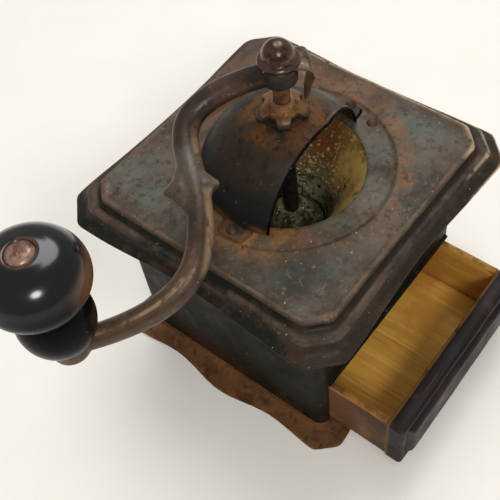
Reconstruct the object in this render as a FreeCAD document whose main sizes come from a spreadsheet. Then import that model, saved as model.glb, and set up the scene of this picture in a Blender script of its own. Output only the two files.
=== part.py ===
import FreeCAD, Part
import math
import os
from types import SimpleNamespace

import Sketcher
from FreeCAD import Placement, Rotation, Vector

# Hand crank box coffee grinder, in millimetres.
# +Z is up, the drawer opens towards -Y, and the origin is the middle of the base's underside.

SIZES = (
    ("sheet", 1.0, "thickness of the pressed steel sheet"),
    ("play", 0.3, "gap between neighbours that only pass each other"),
    ("running_fit", 0.06, "radial gap of a turning or sliding fit"),
    ("seat_fit", 0.03, "radial gap of a fixed fit"),
    ("base_reach", 10.4, "reach of the base's ears beyond the box"),
    ("base_chamfer", 8.6, "cut across a corner of the base"),
    ("base_swell", 2.0, "bulge in the middle of a base side"),
    ("base_scoop", 3.0, "hollow beside each ear of the base"),
    ("base_rise", 3.4, "height of the ridge that carries the box"),
    ("base_ledge", 1.2, "ridge showing outside the box wall"),
    ("base_ridge", 5.6, "width of the ridge inside the box wall"),
    ("body_half", 52.6, "half width of the box"),
    ("body_height", 97.6, "height of the box wall"),
    ("body_round", 6.0, "corner radius of the box"),
    ("valance_bead", 1.2, "radius of the rolled lip over the drawer"),
    ("top_reach", 5.4, "reach of the flat top beyond the box"),
    ("top_chamfer", 8.0, "cut across a corner of the flat top"),
    ("edge_out", 1.4, "reach of the step at the edge of the flat top"),
    ("edge_drop", 2.3, "drop of that step"),
    ("bead_out", 6.0, "reach of the rounded bead of the moulding"),
    ("bead_drop", 3.9, "drop of that bead"),
    ("rim_out", 11.2, "reach of the whole moulding"),
    ("rim_drop", 9.8, "drop of the whole moulding"),
    ("rim_chamfer", 11.2, "cut across a corner of the rim"),
    ("rim_bow", 2.8, "inward bow of a rim side between its ears"),
    ("ring_width", 7.2, "width of the sunk ring outside the hood"),
    ("ring_sink", 1.0, "depth of the sunk ring"),
    ("mouth_radius", 32.6, "radius of the hopper mouth"),
    ("bowl_flange", 2.6, "width of the bowl's flange"),
    ("bowl_depth", 25.0, "depth of the hopper bowl"),
    ("bowl_foot", 4.5, "width of the flat foot of the bowl"),
    ("hood_seat", 4.4, "width from the hopper mouth to the outside of the hood"),
    ("hood_height", 29.2, "height of the hood"),
    ("hood_flat", 7.7, "radius of the flat on the hood"),
    ("hood_bend", 37.8, "bend radius of the hood"),
    ("hood_sheet", 1.2, "thickness of the hood"),
    ("hood_front", 16.0, "distance of the hood's open edge in front of the shaft"),
    ("hood_turn", 8.0, "place right of the shaft where the open edge turns back"),
    ("hood_far_front", 9.4, "distance of the open edge's right end in front of the shaft"),
    ("tab_back", 3.0, "extent of a tab behind the shaft"),
    ("near_tab_front", 10.0, "extent of the left tab in front of the shaft"),
    ("far_tab_front", 9.2, "extent of the right tab in front of the shaft"),
    ("rivet_radius", 1.8, "shank radius of a hood rivet"),
    ("rivet_head", 2.5, "head radius of a hood rivet"),
    ("rivet_dome", 1.5, "head height of a hood rivet"),
    ("rivet_depth", 9.0, "depth of a rivet in the carrier post"),
    ("rivet_front", 3.0, "distance of the main rivets in front of the shaft"),
    ("rivet_second", 15.8, "distance of the second right rivet in front of the shaft"),
    ("rivet_stagger", 1.4, "offset of the right rivets outside and inside the middle of their post"),
    ("shaft_radius", 3.3, "radius of the shaft"),
    ("shaft_tail", 3.5, "shaft standing out below the bridge"),
    ("shaft_flat", 0.8, "depth of the flat that drives the washer"),
    ("shaft_square", 4.6, "width of the square for the crank"),
    ("stud_radius", 2.2, "radius of the stud for the cap nut"),
    ("stud_length", 6.8, "height of that stud above the crank eye"),
    ("bush_radius", 5.0, "outside radius of the hood bush"),
    ("bush_flange", 2.4, "width of the bush flange"),
    ("bush_depth", 3.2, "height of the bush flange under the hood"),
    ("bush_stand", 1.0, "bush standing above the hood"),
    ("washer_radius", 8.5, "radius of the keyed washer"),
    ("washer_height", 1.0, "thickness of the keyed washer"),
    ("nut_radius", 10.6, "radius of the adjusting nut over its lobes"),
    ("nut_height", 4.3, "thickness of the adjusting nut"),
    ("nut_hub", 5.4, "radius of the nut's raised hub"),
    ("nut_hub_rise", 1.5, "height of that hub"),
    ("nut_droop", 1.1, "drop of the nut's lobes at their tips"),
    ("notch_count", 5, "notches in the adjusting nut"),
    ("notch_width", 4.4, "width of a notch"),
    ("notch_depth", 3.4, "depth of a notch"),
    ("pawl_angle", -32.0, "direction of the pawl from the shaft, in degrees"),
    ("pawl_sheet", 1.0, "thickness of the pawl spring"),
    ("pawl_width", 8.4, "width of the pawl spring"),
    ("pawl_play", 0.5, "gap beside the finger in its notch"),
    ("pawl_gap", 1.5, "gap between the finger and the notch's floor"),
    ("pawl_lean", 2.9, "inward lean of the finger"),
    ("pawl_grip", 2.1, "depth of the finger in its notch"),
    ("eye_rise", 15.6, "crank eye above the keyed washer"),
    ("eye_height", 8.2, "height of the crank eye"),
    ("eye_radius", 6.9, "radius of the crank eye"),
    ("crank_reach", 113.6, "distance from the shaft to the knob pin"),
    ("crank_angle", 174.0, "direction of the crank from the shaft, in degrees"),
    ("crank_drop", 47.9, "drop of the arm from the eye to its end"),
    ("crank_turn", 46.8, "distance from the shaft to the middle of the S"),
    ("bow_inner", 18.6, "sideways bow of the inner half of the S"),
    ("bow_outer", 22.4, "sideways bow of the outer half of the S"),
    ("arm_start", 3.8, "radius of the arm at the eye"),
    ("arm_middle", 5.2, "radius of the arm at the leaf"),
    ("arm_end", 4.5, "radius of the arm at the knob"),
    ("barb_near", 9.7, "reach of the near leaf tip from the arm's line"),
    ("barb_far", 11.7, "reach of the far leaf tip from the arm's line"),
    ("barb_near_sweep", 12.0, "near leaf tip beyond the leaf's root, along the arm"),
    ("barb_far_sweep", 14.4, "far leaf tip beyond the leaf's root, along the arm"),
    ("barb_set", 9.0, "leaf's root before the middle of the S"),
    ("barb_root", 5.0, "radius of a leaf tip at its root"),
    ("barb_tip", 0.8, "radius of a leaf tip at its end"),
    ("boss_radius", 7.4, "radius of the boss under the knob"),
    ("boss_height", 8.0, "height of that boss"),
    ("pin_radius", 2.6, "radius of the knob pin"),
    ("pin_head", 4.6, "radius of the knob pin's head"),
    ("pin_dome", 2.2, "height of the knob pin's head"),
    ("pin_foot", 4.4, "radius of the peened end under the boss"),
    ("pin_foot_height", 2.2, "height of the peened end"),
    ("knob_washer_radius", 6.6, "radius of the washer under the knob"),
    ("knob_foot", 9.5, "radius of the knob at its foot"),
    ("knob_disc_height", 25.0, "height of the knob's lower disc"),
    ("knob_disc_bulge", 4.15, "depth of the lower disc's bulge"),
    ("knob_neck", 10.0, "radius of the knob's neck"),
    ("knob_ball_height", 26.3, "height of the knob's ball"),
    ("knob_ball_bulge", 10.4, "depth of the ball's bulge"),
    ("knob_crown", 7.0, "radius of the ball's crown"),
    ("knob_dish", 1.4, "depth of the dish in the crown"),
    ("cap_flange", 7.9, "flange radius of the cap nut"),
    ("cap_flange_height", 1.5, "flange height of the cap nut"),
    ("cap_waist", 6.0, "radius of the cap nut under its dome"),
    ("cap_cone", 1.9, "height of the cone above the flange"),
    ("cap_dome", 5.6, "height of the cap nut's dome"),
    ("carrier_ring", 5.0, "wall of the carrier ring round the burr"),
    ("carrier_height", 17.0, "height of the carrier ring"),
    ("carrier_ledge", 2.0, "height and depth of the ledge under the burr"),
    ("carrier_arm", 8.0, "height and half width of a carrier arm"),
    ("post_depth", 8.0, "depth of a carrier post"),
    ("post_front", 21.0, "extent of a carrier post in front of the shaft"),
    ("burr_outer", 21.0, "outside radius of the burr ring"),
    ("burr_mouth", 18.1, "radius at the burr ring's top"),
    ("burr_throat", 14.5, "radius at the burr ring's throat"),
    ("burr_throat_drop", 11.0, "throat below the burr ring's top"),
    ("burr_flare", 1.1, "widening of the burr ring below its throat"),
    ("burr_gap", 0.8, "grinding gap between the burrs"),
    ("burr_ring_teeth", 18, "grooves in the burr ring"),
    ("burr_teeth", 10, "grooves in the inner burr"),
    ("tooth_depth", 2.2, "depth of a groove in a burr"),
    ("tooth_half", 0.9, "half width of a groove in a burr"),
    ("burr_nose", 7.0, "radius at the inner burr's top"),
    ("burr_nose_drop", 2.0, "inner burr's top below the burr ring's top"),
    ("burr_skirt", 5.0, "inner burr standing out below the burr ring"),
    ("burr_pin_radius", 1.2, "radius of the pin through the inner burr"),
    ("burr_pin_half", 8.4, "half length of that pin"),
    ("burr_pin_drop", 8.5, "pin below the burr ring's top"),
    ("bridge_drop", 13.5, "bottom of the bridge below the carrier"),
    ("bridge_bar", 4.0, "height of the bridge's bar"),
    ("bridge_half", 6.0, "half width of the bridge"),
    ("bridge_leg", 5.0, "thickness of a bridge leg"),
    ("guide_radius", 5.5, "outside radius of the guide bush"),
    ("guide_stand", 0.8, "guide bush above and below the bar"),
    ("screw_radius", 1.6, "shank radius of a bridge screw"),
    ("screw_head", 3.0, "head radius of a bridge screw"),
    ("screw_head_height", 2.0, "head height of a bridge screw"),
    ("screw_bite", 8.0, "depth of a bridge screw in the carrier"),
    ("jamb_width", 5.1, "width of the box wall beside the drawer mouth"),
    ("back_gap", 6.2, "gap behind the closed drawer"),
    ("drawer_headroom", 4.9, "height of the shaft's end above the drawer"),
    ("drawer_open", 39.8, "drawer front's distance in front of the box"),
    ("side_board", 4.0, "thickness of the drawer's sides and back"),
    ("bottom_board", 3.0, "thickness of the drawer's bottom"),
    ("bottom_rise", 1.2, "drawer bottom above the sides' lower edges"),
    ("front_board", 8.4, "thickness of the drawer's front"),
    ("front_lap", 1.0, "front reaching below the sides"),
    ("field_rise", 2.4, "raised field on the drawer's front"),
    ("field_inset", 4.0, "border round that field"),
    ("field_bevel", 45.0, "bevel of the field, in degrees"),
    ("runner_width", 3.4, "width of a drawer runner"),
    ("nail_radius", 0.7, "shank radius of a drawer nail"),
    ("nail_head", 1.4, "head radius of a drawer nail"),
    ("nail_head_height", 0.5, "head height of a drawer nail"),
    ("nail_length", 16.0, "length of a drawer nail"),
    ("nail_inset", 7.0, "nails' distance from the sides' edges"),
)

SIDE_POINTS = 13
MOULDING_STEPS = 5
ARM_SECTIONS = 9

# Bends of the arm: shares of the way along its half of the S, of that half's bow and of the whole drop
INNER_BENDS = ((0.26, 0.645, 0.107), (0.63, 1.0, 0.26))
OUTER_BENDS = ((0.39, 1.0, 0.641), (0.72, 0.6, 0.885), (0.92, 0.16, 0.985))


class Size:
    """A number together with the sheet expression that gives it."""

    def __init__(self, text, number):
        self.text = text
        self.number = number

    def joined(self, sign, other, number):
        text = other.text if isinstance(other, Size) else repr(float(other))
        return Size("(%s %s %s)" % (self.text, sign, text), number)

    def __float__(self):
        return float(self.number)

    def __add__(self, other):
        return self.joined("+", other, float(self) + float(other))

    def __sub__(self, other):
        return self.joined("-", other, float(self) - float(other))

    def __mul__(self, other):
        return self.joined("*", other, float(self) * float(other))

    def __truediv__(self, other):
        return self.joined("/", other, float(self) / float(other))

    def __neg__(self):
        return self * -1


doc = FreeCAD.newDocument("coffee_grinder")
sheet = doc.addObject("Spreadsheet::Sheet", "sizes")
for row, (alias, number, note) in enumerate(SIZES, 1):
    sheet.set("A%d" % row, note)
    sheet.set("B%d" % row, str(number))
    sheet.setAlias("B%d" % row, alias)
doc.recompute()
dim = SimpleNamespace(**{alias: Size("sizes." + alias, sheet.get(alias)) for alias, _, _ in SIZES})

# Heights that several pieces share, from the ground up
body_top = dim.base_rise + dim.body_height
top_z = body_top + dim.sheet
ring_floor = top_z - dim.ring_sink
ring_under = ring_floor - dim.sheet
hood_top = ring_floor + dim.hood_height
bush_top = hood_top + dim.bush_stand
washer_top = bush_top + dim.washer_height
nut_top = washer_top + dim.nut_height
eye_bottom = washer_top + dim.eye_rise
eye_top = eye_bottom + dim.eye_height
pawl_top = eye_top + dim.pawl_sheet
bowl_bottom = ring_under - dim.bowl_depth
burr_bottom = bowl_bottom - dim.carrier_height + dim.carrier_ledge
carrier_bottom = bowl_bottom - dim.carrier_height
bridge_bottom = carrier_bottom - dim.bridge_drop
bridge_top = bridge_bottom + dim.bridge_bar
boss_middle = eye_bottom + dim.eye_height / 2 - dim.crank_drop
boss_bottom = boss_middle - dim.boss_height / 2
boss_top = boss_middle + dim.boss_height / 2
knob_bottom = boss_top + dim.sheet + dim.play
knob_top = knob_bottom + dim.knob_disc_height + dim.knob_ball_height
knob_seat = knob_top - dim.knob_dish
runner_top = dim.base_rise + dim.sheet
side_bottom = runner_top + dim.play
drawer_top = bridge_bottom - dim.shaft_tail - dim.drawer_headroom
front_bottom = side_bottom - dim.front_lap
mouth_top = drawer_top + dim.front_lap

# Places that several pieces share
base_half = dim.body_half + dim.base_reach
top_half = dim.body_half + dim.top_reach
mouth_half = dim.body_half - dim.jamb_width
drawer_half = mouth_half - dim.play
drawer_length = dim.body_half * 2 - dim.sheet - dim.back_gap
hood_base = dim.mouth_radius + dim.hood_seat
ring_radius = hood_base + dim.ring_width
tab_reach = ring_radius - dim.play * 2
post_inner = dim.mouth_radius + dim.bowl_flange + dim.play * 2
rivet_across = post_inner + dim.post_depth / 2
pawl_foot = dim.nut_radius - dim.notch_depth + dim.pawl_gap + dim.pawl_sheet
pawl_reach = pawl_foot + dim.pawl_lean
front_face = -dim.body_half - dim.drawer_open
front_back = front_face + dim.field_rise + dim.front_board
drawer_back_face = front_face + drawer_length
ridge_inner = dim.body_half - dim.base_ridge
crank_angle = math.radians(float(dim.crank_angle))
knob_place = Vector(
    float(dim.crank_reach) * math.cos(crank_angle), float(dim.crank_reach) * math.sin(crank_angle), 0
)
rivet_spots = (
    (-rivet_across, -dim.rivet_front),
    (rivet_across + dim.rivet_stagger, -dim.rivet_front),
    (rivet_across - dim.rivet_stagger, -dim.rivet_second),
)

parts = []


def bind(thing, name, size):
    """Ties a property to the sheet."""
    if isinstance(size, Size):
        thing.setExpression(name, size.text)
    else:
        setattr(thing, name, size)


def keep(thing, label):
    """Lists a finished sub-part under its own name."""
    thing.Label = label
    parts.append(thing)
    return thing


def new_body(label):
    return keep(doc.addObject("PartDesign::Body", label), label)


def origin_of(body, role):
    return [feature for feature in body.Origin.OriginFeatures if feature.Role == role][0]


def fix_point(sketch, edge, end, corner):
    """Holds one end of an edge at its place across and up the sketch."""
    for kind, axis, size in (("DistanceX", -2, corner[0]), ("DistanceY", -1, corner[1])):
        if isinstance(size, Size):
            index = sketch.addConstraint(Sketcher.Constraint(kind, edge, end, float(size)))
            sketch.setExpression("Constraints[%d]" % index, size.text)
        else:
            sketch.addConstraint(Sketcher.Constraint("PointOnObject", edge, end, axis))


def bent_edge(start, end, radius, turn):
    """Arc of a given radius, turning left (1) or right (-1) on its way from start to end."""
    chord = end - start
    side = Vector(-chord.y, chord.x, 0).normalize() * turn
    depth = math.sqrt(float(radius) ** 2 - (chord.Length / 2) ** 2)
    centre = (start + end) / 2 + side * depth
    angles = [math.atan2(point.y - centre.y, point.x - centre.x) for point in (start, end)[::turn]]
    if angles[1] < angles[0]:
        angles[1] += 2 * math.pi
    return Part.ArcOfCircle(Part.Circle(centre, Vector(0, 0, 1), float(radius)), *angles)


def new_sketch(body, name, plane, lift=None):
    sketch = body.newObject("Sketcher::SketchObject", name)
    sketch.AttachmentSupport = (origin_of(body, plane), [""])
    sketch.MapMode = "FlatFace"
    if lift is not None:
        bind(sketch, "AttachmentOffset.Base.z", lift)
    return sketch


def outline(body, name, plane, corners, lift=None):
    """Closed sketch; a corner is (across, up), with (radius, turn) added where a bend leaves it."""
    sketch = new_sketch(body, name, plane, lift)
    places = [Vector(float(corner[0]), float(corner[1]), 0) for corner in corners]
    ends = []
    for index, corner in enumerate(corners):
        start, end = places[index], places[(index + 1) % len(places)]
        if len(corner) == 2:
            sketch.addGeometry(Part.LineSegment(start, end))
            ends.append((1, 2))
        else:
            sketch.addGeometry(bent_edge(start, end, corner[2], corner[3]))
            ends.append((1, 2)[:: corner[3]])
    for index, corner in enumerate(corners):
        before = index - 1 if index else len(corners) - 1
        joined = (before, ends[before][1], index, ends[index][0])
        sketch.addConstraint(Sketcher.Constraint("Coincident", *joined))
        fix_point(sketch, index, ends[index][0], corner)
        if len(corner) > 2:
            bend = sketch.addConstraint(Sketcher.Constraint("Radius", index, float(corner[2])))
            sketch.setExpression("Constraints[%d]" % bend, corner[2].text)
    return sketch


def rectangle(low, high):
    return ((low[0], low[1]), (high[0], low[1]), (high[0], high[1]), (low[0], high[1]))


def circles(body, name, plane, spots, radius, lift=None):
    """Sketch of equal circles."""
    sketch = new_sketch(body, name, plane, lift)
    for index, spot in enumerate(spots):
        centre = Vector(float(spot[0]), float(spot[1]), 0)
        sketch.addGeometry(Part.Circle(centre, Vector(0, 0, 1), float(radius)))
        fix_point(sketch, index, 3, spot)
        bend = sketch.addConstraint(Sketcher.Constraint("Radius", index, float(radius)))
        sketch.setExpression("Constraints[%d]" % bend, radius.text)
    return sketch


def extrude(body, kind, name, sketch, length, reverse=False, both=False):
    """Pad or Pocket of a sketch; the other way with reverse, half each way with both."""
    feature = body.newObject("PartDesign::" + kind, name)
    feature.Profile = sketch
    bind(feature, "Length", length)
    feature.Reversed = reverse
    if both:
        feature.SideType = "Symmetric"
    return feature


def dome_bend(foot, height):
    """Radius of the sphere whose cap has this foot radius and height."""
    return (foot * foot + height * height) / (height * 2)


def bulge_bend(across, height, bulge):
    """Radius of the arc that spans a slanting chord with this depth of bulge."""
    chord_square = across * across + height * height
    return (chord_square / 4 + bulge * bulge) / (bulge * 2)


def revolve(body, name, corners):
    """Solid turned about the vertical axis from a profile of (radius, height) corners."""
    feature = body.newObject("PartDesign::Revolution", name)
    feature.Profile = outline(body, name + "_profile", "XZ_Plane", corners)
    feature.ReferenceAxis = (feature.Profile[0], ["V_Axis"])
    feature.Angle = 360
    return feature


def repeat_round(body, name, feature, count):
    """Repeats a feature evenly round the vertical axis."""
    pattern = body.newObject("PartDesign::PolarPattern", name)
    pattern.Originals = [feature]
    pattern.Axis = (origin_of(body, "Z_Axis"), [""])
    pattern.Angle = 360
    bind(pattern, "Occurrences", count)
    body.Tip = pattern


def box(name, low, high):
    """Block between two corners, tied to the sheet."""
    block = doc.addObject("Part::Box", name)
    for axis, side, start, end in zip("xyz", ("Length", "Width", "Height"), low, high):
        bind(block, side, end - start)
        block.setExpression("Placement.Base." + axis, start.text)
    return block


def cylinder(name, radius, low, high, x=None, y=None):
    """Upright cylinder between two heights."""
    rod = doc.addObject("Part::Cylinder", name)
    bind(rod, "Radius", radius)
    bind(rod, "Height", high - low)
    rod.setExpression("Placement.Base.z", low.text)
    for axis, size in (("x", x), ("y", y)):
        if size is not None:
            rod.setExpression("Placement.Base." + axis, size.text)
    return rod


def fused(name, things):
    join = doc.addObject("Part::MultiFuse", name)
    join.Shapes = things
    return join


def cut_from(name, base, tools):
    cut = doc.addObject("Part::Cut", name)
    cut.Base = base
    cut.Tool = tools[0] if len(tools) == 1 else fused(name + "_tools", tools)
    return cut


def shape_part(label, shape):
    """Sub-part whose form is worked out point by point."""
    thing = doc.addObject("Part::Feature", label)
    thing.Shape = shape
    thing.Placement = Placement()
    return keep(thing, label)


def group(label, things):
    """Identical fasteners under one name."""
    compound = doc.addObject("Part::Compound", label)
    compound.Links = things
    return keep(compound, label)


def octagon(half, chamfer, z, swell, scoop=0.0):
    """Square with cut corners whose four sides bulge by swell and hollow by scoop beside the corners."""
    reach = half - chamfer
    edges = []
    for quarter in range(4):
        turn = Rotation(Vector(0, 0, 1), 90 * quarter)
        side = []
        for index in range(SIDE_POINTS):
            along = 2 * index / (SIDE_POINTS - 1) - 1
            bulge = swell * (1 + math.cos(math.pi * along)) / 2
            hollow = scoop * math.sin(math.pi * along) ** 2
            side.append(turn.multVec(Vector(half + bulge - hollow, reach * along, z)))
        curve = Part.BSplineCurve()
        curve.interpolate(side)
        edges.append(curve.toShape())
        corner = turn.multVec(Vector(reach, half, z))
        edges.append(Part.makeLine(side[-1], corner))
    return Part.Wire(edges)


def upright(radius, low, high, x=0.0, y=0.0):
    """Plain cylinder used to cut or join worked-out forms."""
    return Part.makeCylinder(float(radius), float(high) - float(low), Vector(float(x), float(y), float(low)))


def block(half, low, high):
    return Part.makeBox(2 * half, 2 * half, high - low, Vector(-half, -half, low))


# Base: pressed sheet with a sunk floor, a ridge under the box and a flared, wavy edge
def base_level(half, z):
    """Outline of the flare, whose waves and cut corners fade out towards the ridge."""
    ridge = float(dim.body_half + dim.base_ledge)
    share = (half - ridge) / (float(base_half) - ridge)
    chamfer = float(dim.body_round) + share * (float(dim.base_chamfer) - float(dim.body_round))
    return octagon(half, chamfer, z, share * float(dim.base_swell), share * float(dim.base_scoop))


def base_flare(inset, z_shift):
    """Solid under the flare, drawn in and lowered to give the underside."""
    ridge = float(dim.body_half + dim.base_ledge)
    edge = float(base_half)
    lip = float(dim.sheet)
    rise = float(dim.base_rise) - lip
    levels = [base_level(edge - inset, z_shift)]
    for step in range(MOULDING_STEPS + 1):
        angle = math.pi / 2 * step / MOULDING_STEPS
        half = edge - (edge - ridge) * math.sin(angle)
        levels.append(base_level(half - inset, lip + rise * (1 - math.cos(angle)) + z_shift))
    return Part.makeLoft(levels, True, True)


def make_base():
    lip = float(dim.sheet)
    tray = block(float(ridge_inner), lip, float(dim.base_rise) + lip)
    core = block(float(ridge_inner) + lip, -lip, float(dim.base_rise))
    hollow = base_flare(lip, -lip).cut(core)
    shape_part("base_plate", base_flare(0.0, 0.0).cut(tray).cut(hollow))


# Box wall: one folded sheet with rounded corners and the drawer mouth in front
def rounded_square(half, bend):
    inner = half - bend
    return (
        (-inner, -half),
        (inner, -half, bend, 1),
        (half, -inner),
        (half, inner, bend, 1),
        (inner, half),
        (-inner, half, bend, 1),
        (-half, inner),
        (-half, -inner, bend, 1),
    )


def make_body():
    body = new_body("body_shell")
    outside = rounded_square(dim.body_half, dim.body_round)
    outer = outline(body, "wall_outside", "XY_Plane", outside, dim.base_rise)
    extrude(body, "Pad", "wall", outer, dim.body_height)
    inner_round = dim.body_round - dim.sheet
    inside = rounded_square(dim.body_half - dim.sheet, inner_round)
    inner = outline(body, "wall_inside", "XY_Plane", inside, dim.base_rise)
    extrude(body, "Pocket", "room", inner, dim.body_height, reverse=True)
    half = mouth_half
    gap = outline(body, "mouth_edge", "XZ_Plane", rectangle((-half, dim.base_rise), (half, mouth_top)))
    extrude(body, "Pocket", "drawer_mouth", gap, dim.body_half + dim.sheet, reverse=True)
    spot = ((-dim.body_half, mouth_top + dim.valance_bead),)
    bead = circles(body, "bead_round", "YZ_Plane", spot, dim.valance_bead)
    extrude(body, "Pad", "valance", bead, half * 2, both=True)


# Top cover: pressed sheet with a moulded, flaring rim, a sunk ring and the hopper mouth
def cover_profile():
    """Reach and drop of the moulding: step, rounded bead, then a hollow flare."""
    edge = (float(dim.edge_out), float(dim.edge_drop))
    bead = (float(dim.bead_out), float(dim.bead_drop))
    rim = (float(dim.rim_out), float(dim.rim_drop))
    points = [(0.0, 0.0)]
    for step in range(MOULDING_STEPS + 1):
        angle = math.pi / 2 * step / MOULDING_STEPS
        reach = edge[0] + (bead[0] - edge[0]) * math.sin(angle)
        points.append((reach, edge[1] + (bead[1] - edge[1]) * (1 - math.cos(angle))))
    for step in range(1, MOULDING_STEPS + 1):
        angle = math.pi / 2 * step / MOULDING_STEPS
        reach = bead[0] + (rim[0] - bead[0]) * (1 - math.cos(angle))
        points.append((reach, bead[1] + (rim[1] - bead[1]) * math.sin(angle)))
    points.append((rim[0], rim[1] + float(dim.sheet)))
    return points


def cover_solid(inset, lower):
    """Solid under the moulding, drawn in and lowered to give the underside."""
    levels = []
    for reach, drop in cover_profile():
        share = reach / float(dim.rim_out)
        chamfer = float(dim.top_chamfer) + share * (float(dim.rim_chamfer) - float(dim.top_chamfer))
        half = float(top_half) + reach - inset
        levels.append(octagon(half, chamfer, float(top_z) - drop - lower, -share * float(dim.rim_bow)))
    return Part.makeLoft(levels, True, True)


def make_cover():
    lip = float(dim.sheet)
    shell = cover_solid(0.0, 0.0).cut(cover_solid(lip, lip))
    shell = shell.fuse(upright(ring_radius + dim.sheet, ring_under, top_z))
    shell = shell.cut(upright(ring_radius, ring_floor, top_z + dim.sheet))
    holes = [upright(dim.mouth_radius, ring_under - dim.sheet, top_z)]
    hole = dim.rivet_radius + dim.seat_fit
    holes += [upright(hole, ring_under - dim.sheet, top_z, x, y) for x, y in rivet_spots]
    for tool in holes:
        shell = shell.cut(tool)
    shape_part("top_cover", shell)


# Hopper bowl: a cone of sheet hung under the mouth, with a flat foot on the burr carrier
def make_bowl():
    foot = dim.burr_mouth + dim.bowl_foot
    flange = dim.mouth_radius + dim.bowl_flange
    revolve(
        new_body("hopper_bowl"),
        "bowl",
        (
            (dim.burr_mouth, bowl_bottom),
            (foot, bowl_bottom),
            (foot, bowl_bottom + dim.sheet),
            (dim.burr_mouth + dim.sheet, bowl_bottom + dim.sheet),
            (dim.mouth_radius + dim.sheet, ring_under - dim.sheet),
            (flange, ring_under - dim.sheet),
            (flange, ring_under),
            (dim.mouth_radius, ring_under),
            (dim.burr_mouth, bowl_bottom + dim.sheet),
        ),
    )


# Hood: domed sheet over the back of the hopper, open in front, with tabs under rivets
def make_hood():
    body = new_body("hood")
    bore = dim.bush_radius + dim.seat_fit
    inner_top = hood_top - dim.hood_sheet
    revolve(
        body,
        "dome",
        (
            (bore, inner_top),
            (dim.hood_flat, inner_top, dim.hood_bend - dim.hood_sheet, -1),
            (hood_base - dim.hood_sheet, ring_floor),
            (hood_base, ring_floor, dim.hood_bend, 1),
            (dim.hood_flat, hood_top),
            (bore, hood_top),
        ),
    )
    reach = hood_base + dim.sheet
    cut = (
        (-reach, -reach),
        (reach, -reach),
        (reach, -dim.hood_far_front),
        (dim.hood_turn, -dim.hood_front),
        (-reach, -dim.hood_front),
    )
    front = outline(body, "front_cut", "XY_Plane", cut)
    extrude(body, "Pocket", "open_front", front, hood_top + dim.sheet, reverse=True)
    root = hood_base - dim.hood_sheet * 3
    left = rectangle((-tab_reach, -dim.near_tab_front), (-root, dim.tab_back))
    right = rectangle((root, -dim.far_tab_front), (tab_reach, dim.tab_back))
    for name, corners in (("near_tab", left), ("far_tab", right)):
        plan = outline(body, name + "_plan", "XY_Plane", corners, ring_floor)
        extrude(body, "Pad", name, plan, dim.hood_sheet)
    trim = circles(body, "trim_plan", "XY_Plane", ((0, 0),), ring_radius - dim.play, ring_floor)
    trim_edge = trim.addGeometry(Part.Circle(Vector(), Vector(0, 0, 1), float(ring_radius + tab_reach)))
    trim.addConstraint(Sketcher.Constraint("Coincident", trim_edge, 3, -1, 1))
    bend = trim.addConstraint(Sketcher.Constraint("Radius", trim_edge, float(ring_radius + tab_reach)))
    trim.setExpression("Constraints[%d]" % bend, (ring_radius + tab_reach).text)
    extrude(body, "Pocket", "tab_trim", trim, dim.hood_sheet, reverse=True)
    spots = rivet_spots[:2]
    hole = circles(body, "rivet_plan", "XY_Plane", spots, dim.rivet_radius + dim.seat_fit, ring_floor)
    extrude(body, "Pocket", "rivet_holes", hole, dim.hood_sheet, reverse=True)


def dome(name, foot, height, base, x, y):
    """Cap of a sphere standing on a given height."""
    bend = dome_bend(foot, height)
    cap = doc.addObject("Part::Sphere", name)
    bind(cap, "Radius", bend)
    cap.setExpression("Angle1", "asin(%s / %s)" % ((bend - height).text, bend.text))
    for axis, size in zip("xyz", (x, y, base + height - bend)):
        cap.setExpression("Placement.Base." + axis, size.text)
    return cap


def make_rivets():
    tab_top = ring_floor + dim.hood_sheet
    foot = ring_under - dim.rivet_depth
    rivets = []
    for index, ((x, y), head) in enumerate(zip(rivet_spots, (tab_top, tab_top, ring_floor))):
        shank = cylinder("rivet_shank_%d" % index, dim.rivet_radius, foot, head, x, y)
        cap = dome("rivet_head_%d" % index, dim.rivet_head, dim.rivet_dome, head, x, y)
        rivets.append(fused("rivet_%d" % index, [shank, cap]))
    group("hood_rivets", rivets)


# Hood bush: flanged from below, with the keyed washer riding on its top
def make_hood_bush():
    bore = dim.shaft_radius + dim.running_fit
    flange = hood_top - dim.hood_sheet
    collar = dim.bush_radius + dim.bush_flange
    corners = (
        (bore, flange - dim.bush_depth),
        (collar, flange - dim.bush_depth),
        (collar, flange),
        (dim.bush_radius, flange),
        (dim.bush_radius, bush_top),
        (bore, bush_top),
    )
    revolve(new_body("hood_bush"), "bush", corners)


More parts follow.
